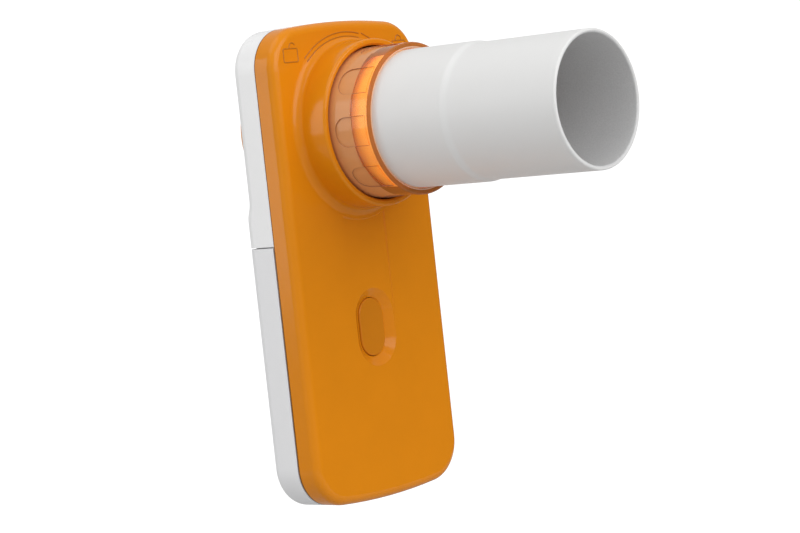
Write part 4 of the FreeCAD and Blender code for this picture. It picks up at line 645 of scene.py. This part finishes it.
def bead(name, path, outward, radius, closed=False):
    """Thin line: a circle of one radius carried along a path, in the plane across the path.

    A point at angle a is (point + radius (side cos a + outward sin a)). Open ends taper to a
    point.
    """
    if closed:
        ahead = np.roll(path, -1, axis=0) - np.roll(path, 1, axis=0)
    else:
        ahead = np.gradient(path, axis=0)
    side = np.cross(ahead, outward)
    side /= np.linalg.norm(side, axis=1, keepdims=True)
    angle = np.linspace(0, 2 * math.pi, BEAD_POINTS, endpoint=False)[:, None]
    size = np.full(len(path), radius)
    if not closed:
        size[[0, -1]] = 0
    swing = side[:, None] * np.cos(angle) + outward[:, None] * np.sin(angle)
    line = grid_piece(name, path[:, None] + size[:, None, None] * swing, closed=closed)
    merged = bmesh.new()
    merged.from_mesh(line.data)
    bmesh.ops.remove_doubles(merged, verts=merged.verts, dist=MERGE_GAP)
    bmesh.ops.recalc_face_normals(merged, faces=merged.faces)
    merged.to_mesh(line.data)
    merged.free()
    return line


def rounded_box(left, right, low, high, corner):
    """Closed outline of a box, with a quarter circle at each corner."""
    quarters = [
        arc_points((right - corner, high - corner), corner, 0, 90, CORNER_POINTS),
        arc_points((left + corner, high - corner), corner, 90, 180, CORNER_POINTS),
        arc_points((left + corner, low + corner), corner, 180, 270, CORNER_POINTS),
        arc_points((right - corner, low + corner), corner, 270, 360, CORNER_POINTS),
    ]
    return np.concatenate(quarters)


def sign(name, path, closed=False):
    """Line of a sign in painted shade, about half sunk in the face, from (x, z) points.

    Near the collar it climbs the soft root: blend - sqrt(blend squared - (root - radius) squared).
    """
    radius = np.hypot(path[:, 0] - AXIS_X, path[:, 1] - AXIS_Z)
    inward = np.clip(COLLAR_ROOT_RADIUS - radius, 0, COLLAR_BLEND)
    climb = COLLAR_BLEND - np.sqrt(COLLAR_BLEND**2 - inward**2)
    depth = SIGN_SINK - FACE - climb
    outward = np.broadcast_to((0.0, -1.0, 0.0), (len(path), 3))
    middle = np.stack([path[:, 0], depth, path[:, 1]], axis=-1)
    line = bead(name, middle, outward, SIGN_RADIUS, closed)
    dress(line, "sign_shade_line")
    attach(line, "casing")


def padlock(name, x, z, swung):
    """Padlock: a round-cornered box, and a bow, which is swung aside where the lock is open."""
    foot = z + LOCK_HEIGHT
    box = rounded_box(x - LOCK_HALF, x + LOCK_HALF, z, foot, LOCK_CORNER)
    sign(f"{name}_box", box, True)
    end = BOW_OPEN_END if swung else 0
    arc = arc_points((x + swung, foot + BOW_RISE), BOW_RADIUS, 180, end, 14)
    bow = [straight((x + swung - BOW_RADIUS, foot), arc[0], 4)[:-1], arc]
    if not swung:
        bow.append(straight(arc[-1], (x + BOW_RADIUS, foot), 4)[1:])
    sign(f"{name}_bow", np.concatenate(bow))


def arc_arrow():
    """Arrow round the collar: two thin arcs, and an open head of two straight lines."""
    centre = (AXIS_X, AXIS_Z)
    inner, outer = ARROW_RADII
    sign("arrow_inner", arc_points(centre, inner, *ARROW_ENDS, 60))
    sign("arrow_outer", arc_points(centre, outer, *ARROW_ENDS, 60))
    tip = arc_points(centre, outer, TIP_ANGLE, TIP_ANGLE, 1)[0]
    high = arc_points(centre, outer + BARB, OUTER_BARB_ANGLE, OUTER_BARB_ANGLE, 1)[0]
    low = arc_points(centre, inner, INNER_BARB_ANGLE, INNER_BARB_ANGLE, 1)[0]
    sign("arrow_head", np.concatenate([straight(high, tip, 14)[:-1], straight(tip, low, 14)]))


def grip_lines():
    """Outlines of the thumb pads in painted shade: straight sides and two round corners, wrapped on
    the ring.

    A flat point (s, y) comes to (axis + radius cos(s / radius), y, axis + radius sin(s / radius)).
    """
    half = PAD_HALF_ANGLE * RING_RADIUS
    corner_at = PAD_BACK - PAD_CORNER
    flat = np.concatenate(
        [
            straight((half, PAD_FRONT), (half, corner_at), 12)[:-1],
            arc_points((half - PAD_CORNER, corner_at), PAD_CORNER, 0, 90, 10),
            arc_points((PAD_CORNER - half, corner_at), PAD_CORNER, 90, 180, 10),
            straight((-half, corner_at), (-half, PAD_FRONT), 12)[1:],
        ]
    )
    count = len(flat)
    middle = np.stack([np.full(count, AXIS_X), flat[:, 1], np.full(count, AXIS_Z)], axis=-1)
    for number in range(PAD_COUNT):
        angle = PAD_TURN + number * 2 * math.pi / PAD_COUNT + flat[:, 0] / RING_RADIUS
        outward = np.stack([np.cos(angle), np.zeros(count), np.sin(angle)], axis=-1)
        path = middle + outward * (RING_RADIUS - PAD_LINE)
        line = bead(f"grip_shade_line_{number + 1}", path, outward, PAD_LINE)
        dress(line, "grip_shade_line")
        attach(line, "turbine")


# Studio.


def camera():
    """Camera that looks along AIM from VIEWPOINT, rolled about its view."""
    data = bpy.data.cameras.new("camera")
    data.lens = FOCAL_LENGTH
    data.clip_start = CLIP_START
    holder = bpy.data.objects.new("camera", data)
    holder.rotation_mode = "QUATERNION"
    holder.location = VIEWPOINT
    holder.rotation_quaternion = AIM.to_track_quat("-Z", "Y") @ Quaternion((0, 0, 1), ROLL)
    bpy.context.scene.collection.objects.link(holder)
    bpy.context.scene.camera = holder
    bpy.context.scene.view_settings.view_transform = "Standard"


def softbox(name, place, width, height, power):
    """Rectangular light that faces the object."""
    lamp = bpy.data.lights.new(name, "AREA")
    lamp.shape = "RECTANGLE"
    lamp.size = width
    lamp.size_y = height
    lamp.energy = power
    holder = bpy.data.objects.new(name, lamp)
    holder.location = place
    holder.rotation_mode = "QUATERNION"
    holder.rotation_quaternion = (LIT_POINT - Vector(place)).to_track_quat("-Z", "Y")
    bpy.context.scene.collection.objects.link(holder)


def surroundings():
    """Studio: white where the camera looks, paler above than below, dim to the right in front."""
    world = bpy.data.worlds.new("studio")
    world.use_nodes = True
    bpy.context.scene.world = world
    tree = world.node_tree
    place = add(tree, "ShaderNodeTexCoord")

    def towards(direction, start, end, low, high):
        """Number that runs from low to high as a ray turns towards a direction."""
        facing = add(tree, "ShaderNodeVectorMath", operation="DOT_PRODUCT")
        facing.inputs[1].default_value = Vector(direction).normalized()
        tree.links.new(place.outputs["Generated"], facing.inputs[0])
        return spread(tree, facing.outputs["Value"], low, high, start, end, "SMOOTHSTEP")

    sky = towards((0, 0, 1), -1, 1, SKY_LOW, SKY_HIGH)
    dim = towards(RIGHT_FRONT_WAY, 0.5, 0.95, 1, RIGHT_FRONT)
    ahead = towards(AIM, 0.9, 0.975, 0, WHITE_AHEAD)
    light = maths(tree, "MAXIMUM", maths(tree, "MULTIPLY", sky, dim), ahead)
    tree.links.new(light, tree.nodes["Background"].inputs["Strength"])
    tree.nodes["Background"].inputs["Color"].default_value = PURE_WHITE


def floor():
    """Plain floor well below the object: a level disc that turns white towards its rim."""
    radius = np.concatenate([[FLOOR_MIDDLE], np.linspace(*FLOOR_RINGS, 20)])
    angle = np.linspace(0, 2 * math.pi, 96, endpoint=False)
    disc = np.stack(
        [
            radius[:, None] * np.cos(angle),
            radius[:, None] * np.sin(angle),
            np.full((len(radius), len(angle)), CASING_FOOT - FLOOR_DROP),
        ],
        axis=-1,
    )
    piece = grid_piece("floor", disc)
    material, tree, shader = blank("floor_white")
    place = add(tree, "ShaderNodeTexCoord")
    length = add(tree, "ShaderNodeVectorMath", operation="LENGTH")
    tree.links.new(place.outputs["Object"], length.inputs[0])
    glow = spread(tree, length.outputs["Value"], 0, FLOOR_GLOW, *FLOOR_TURN, "SMOOTHSTEP")
    tree.links.new(glow, shader.inputs["Emission Strength"])
    shader.inputs["Emission Color"].default_value = PURE_WHITE
    shader.inputs["Base Color"].default_value = FLOOR_GREY
    shader.inputs["Roughness"].default_value = 0.8
    piece.data.materials.append(material)


mouth_tube()
padlock("open_lock", -LOCK_OFFSET, LOCK_FOOT, LOCK_SWING)
padlock("shut_lock", LOCK_OFFSET, LOCK_FOOT, 0)
arc_arrow()
grip_lines()

camera()
for name, box in SOFTBOXES.items():
    softbox(name, *box)
surroundings()
floor()
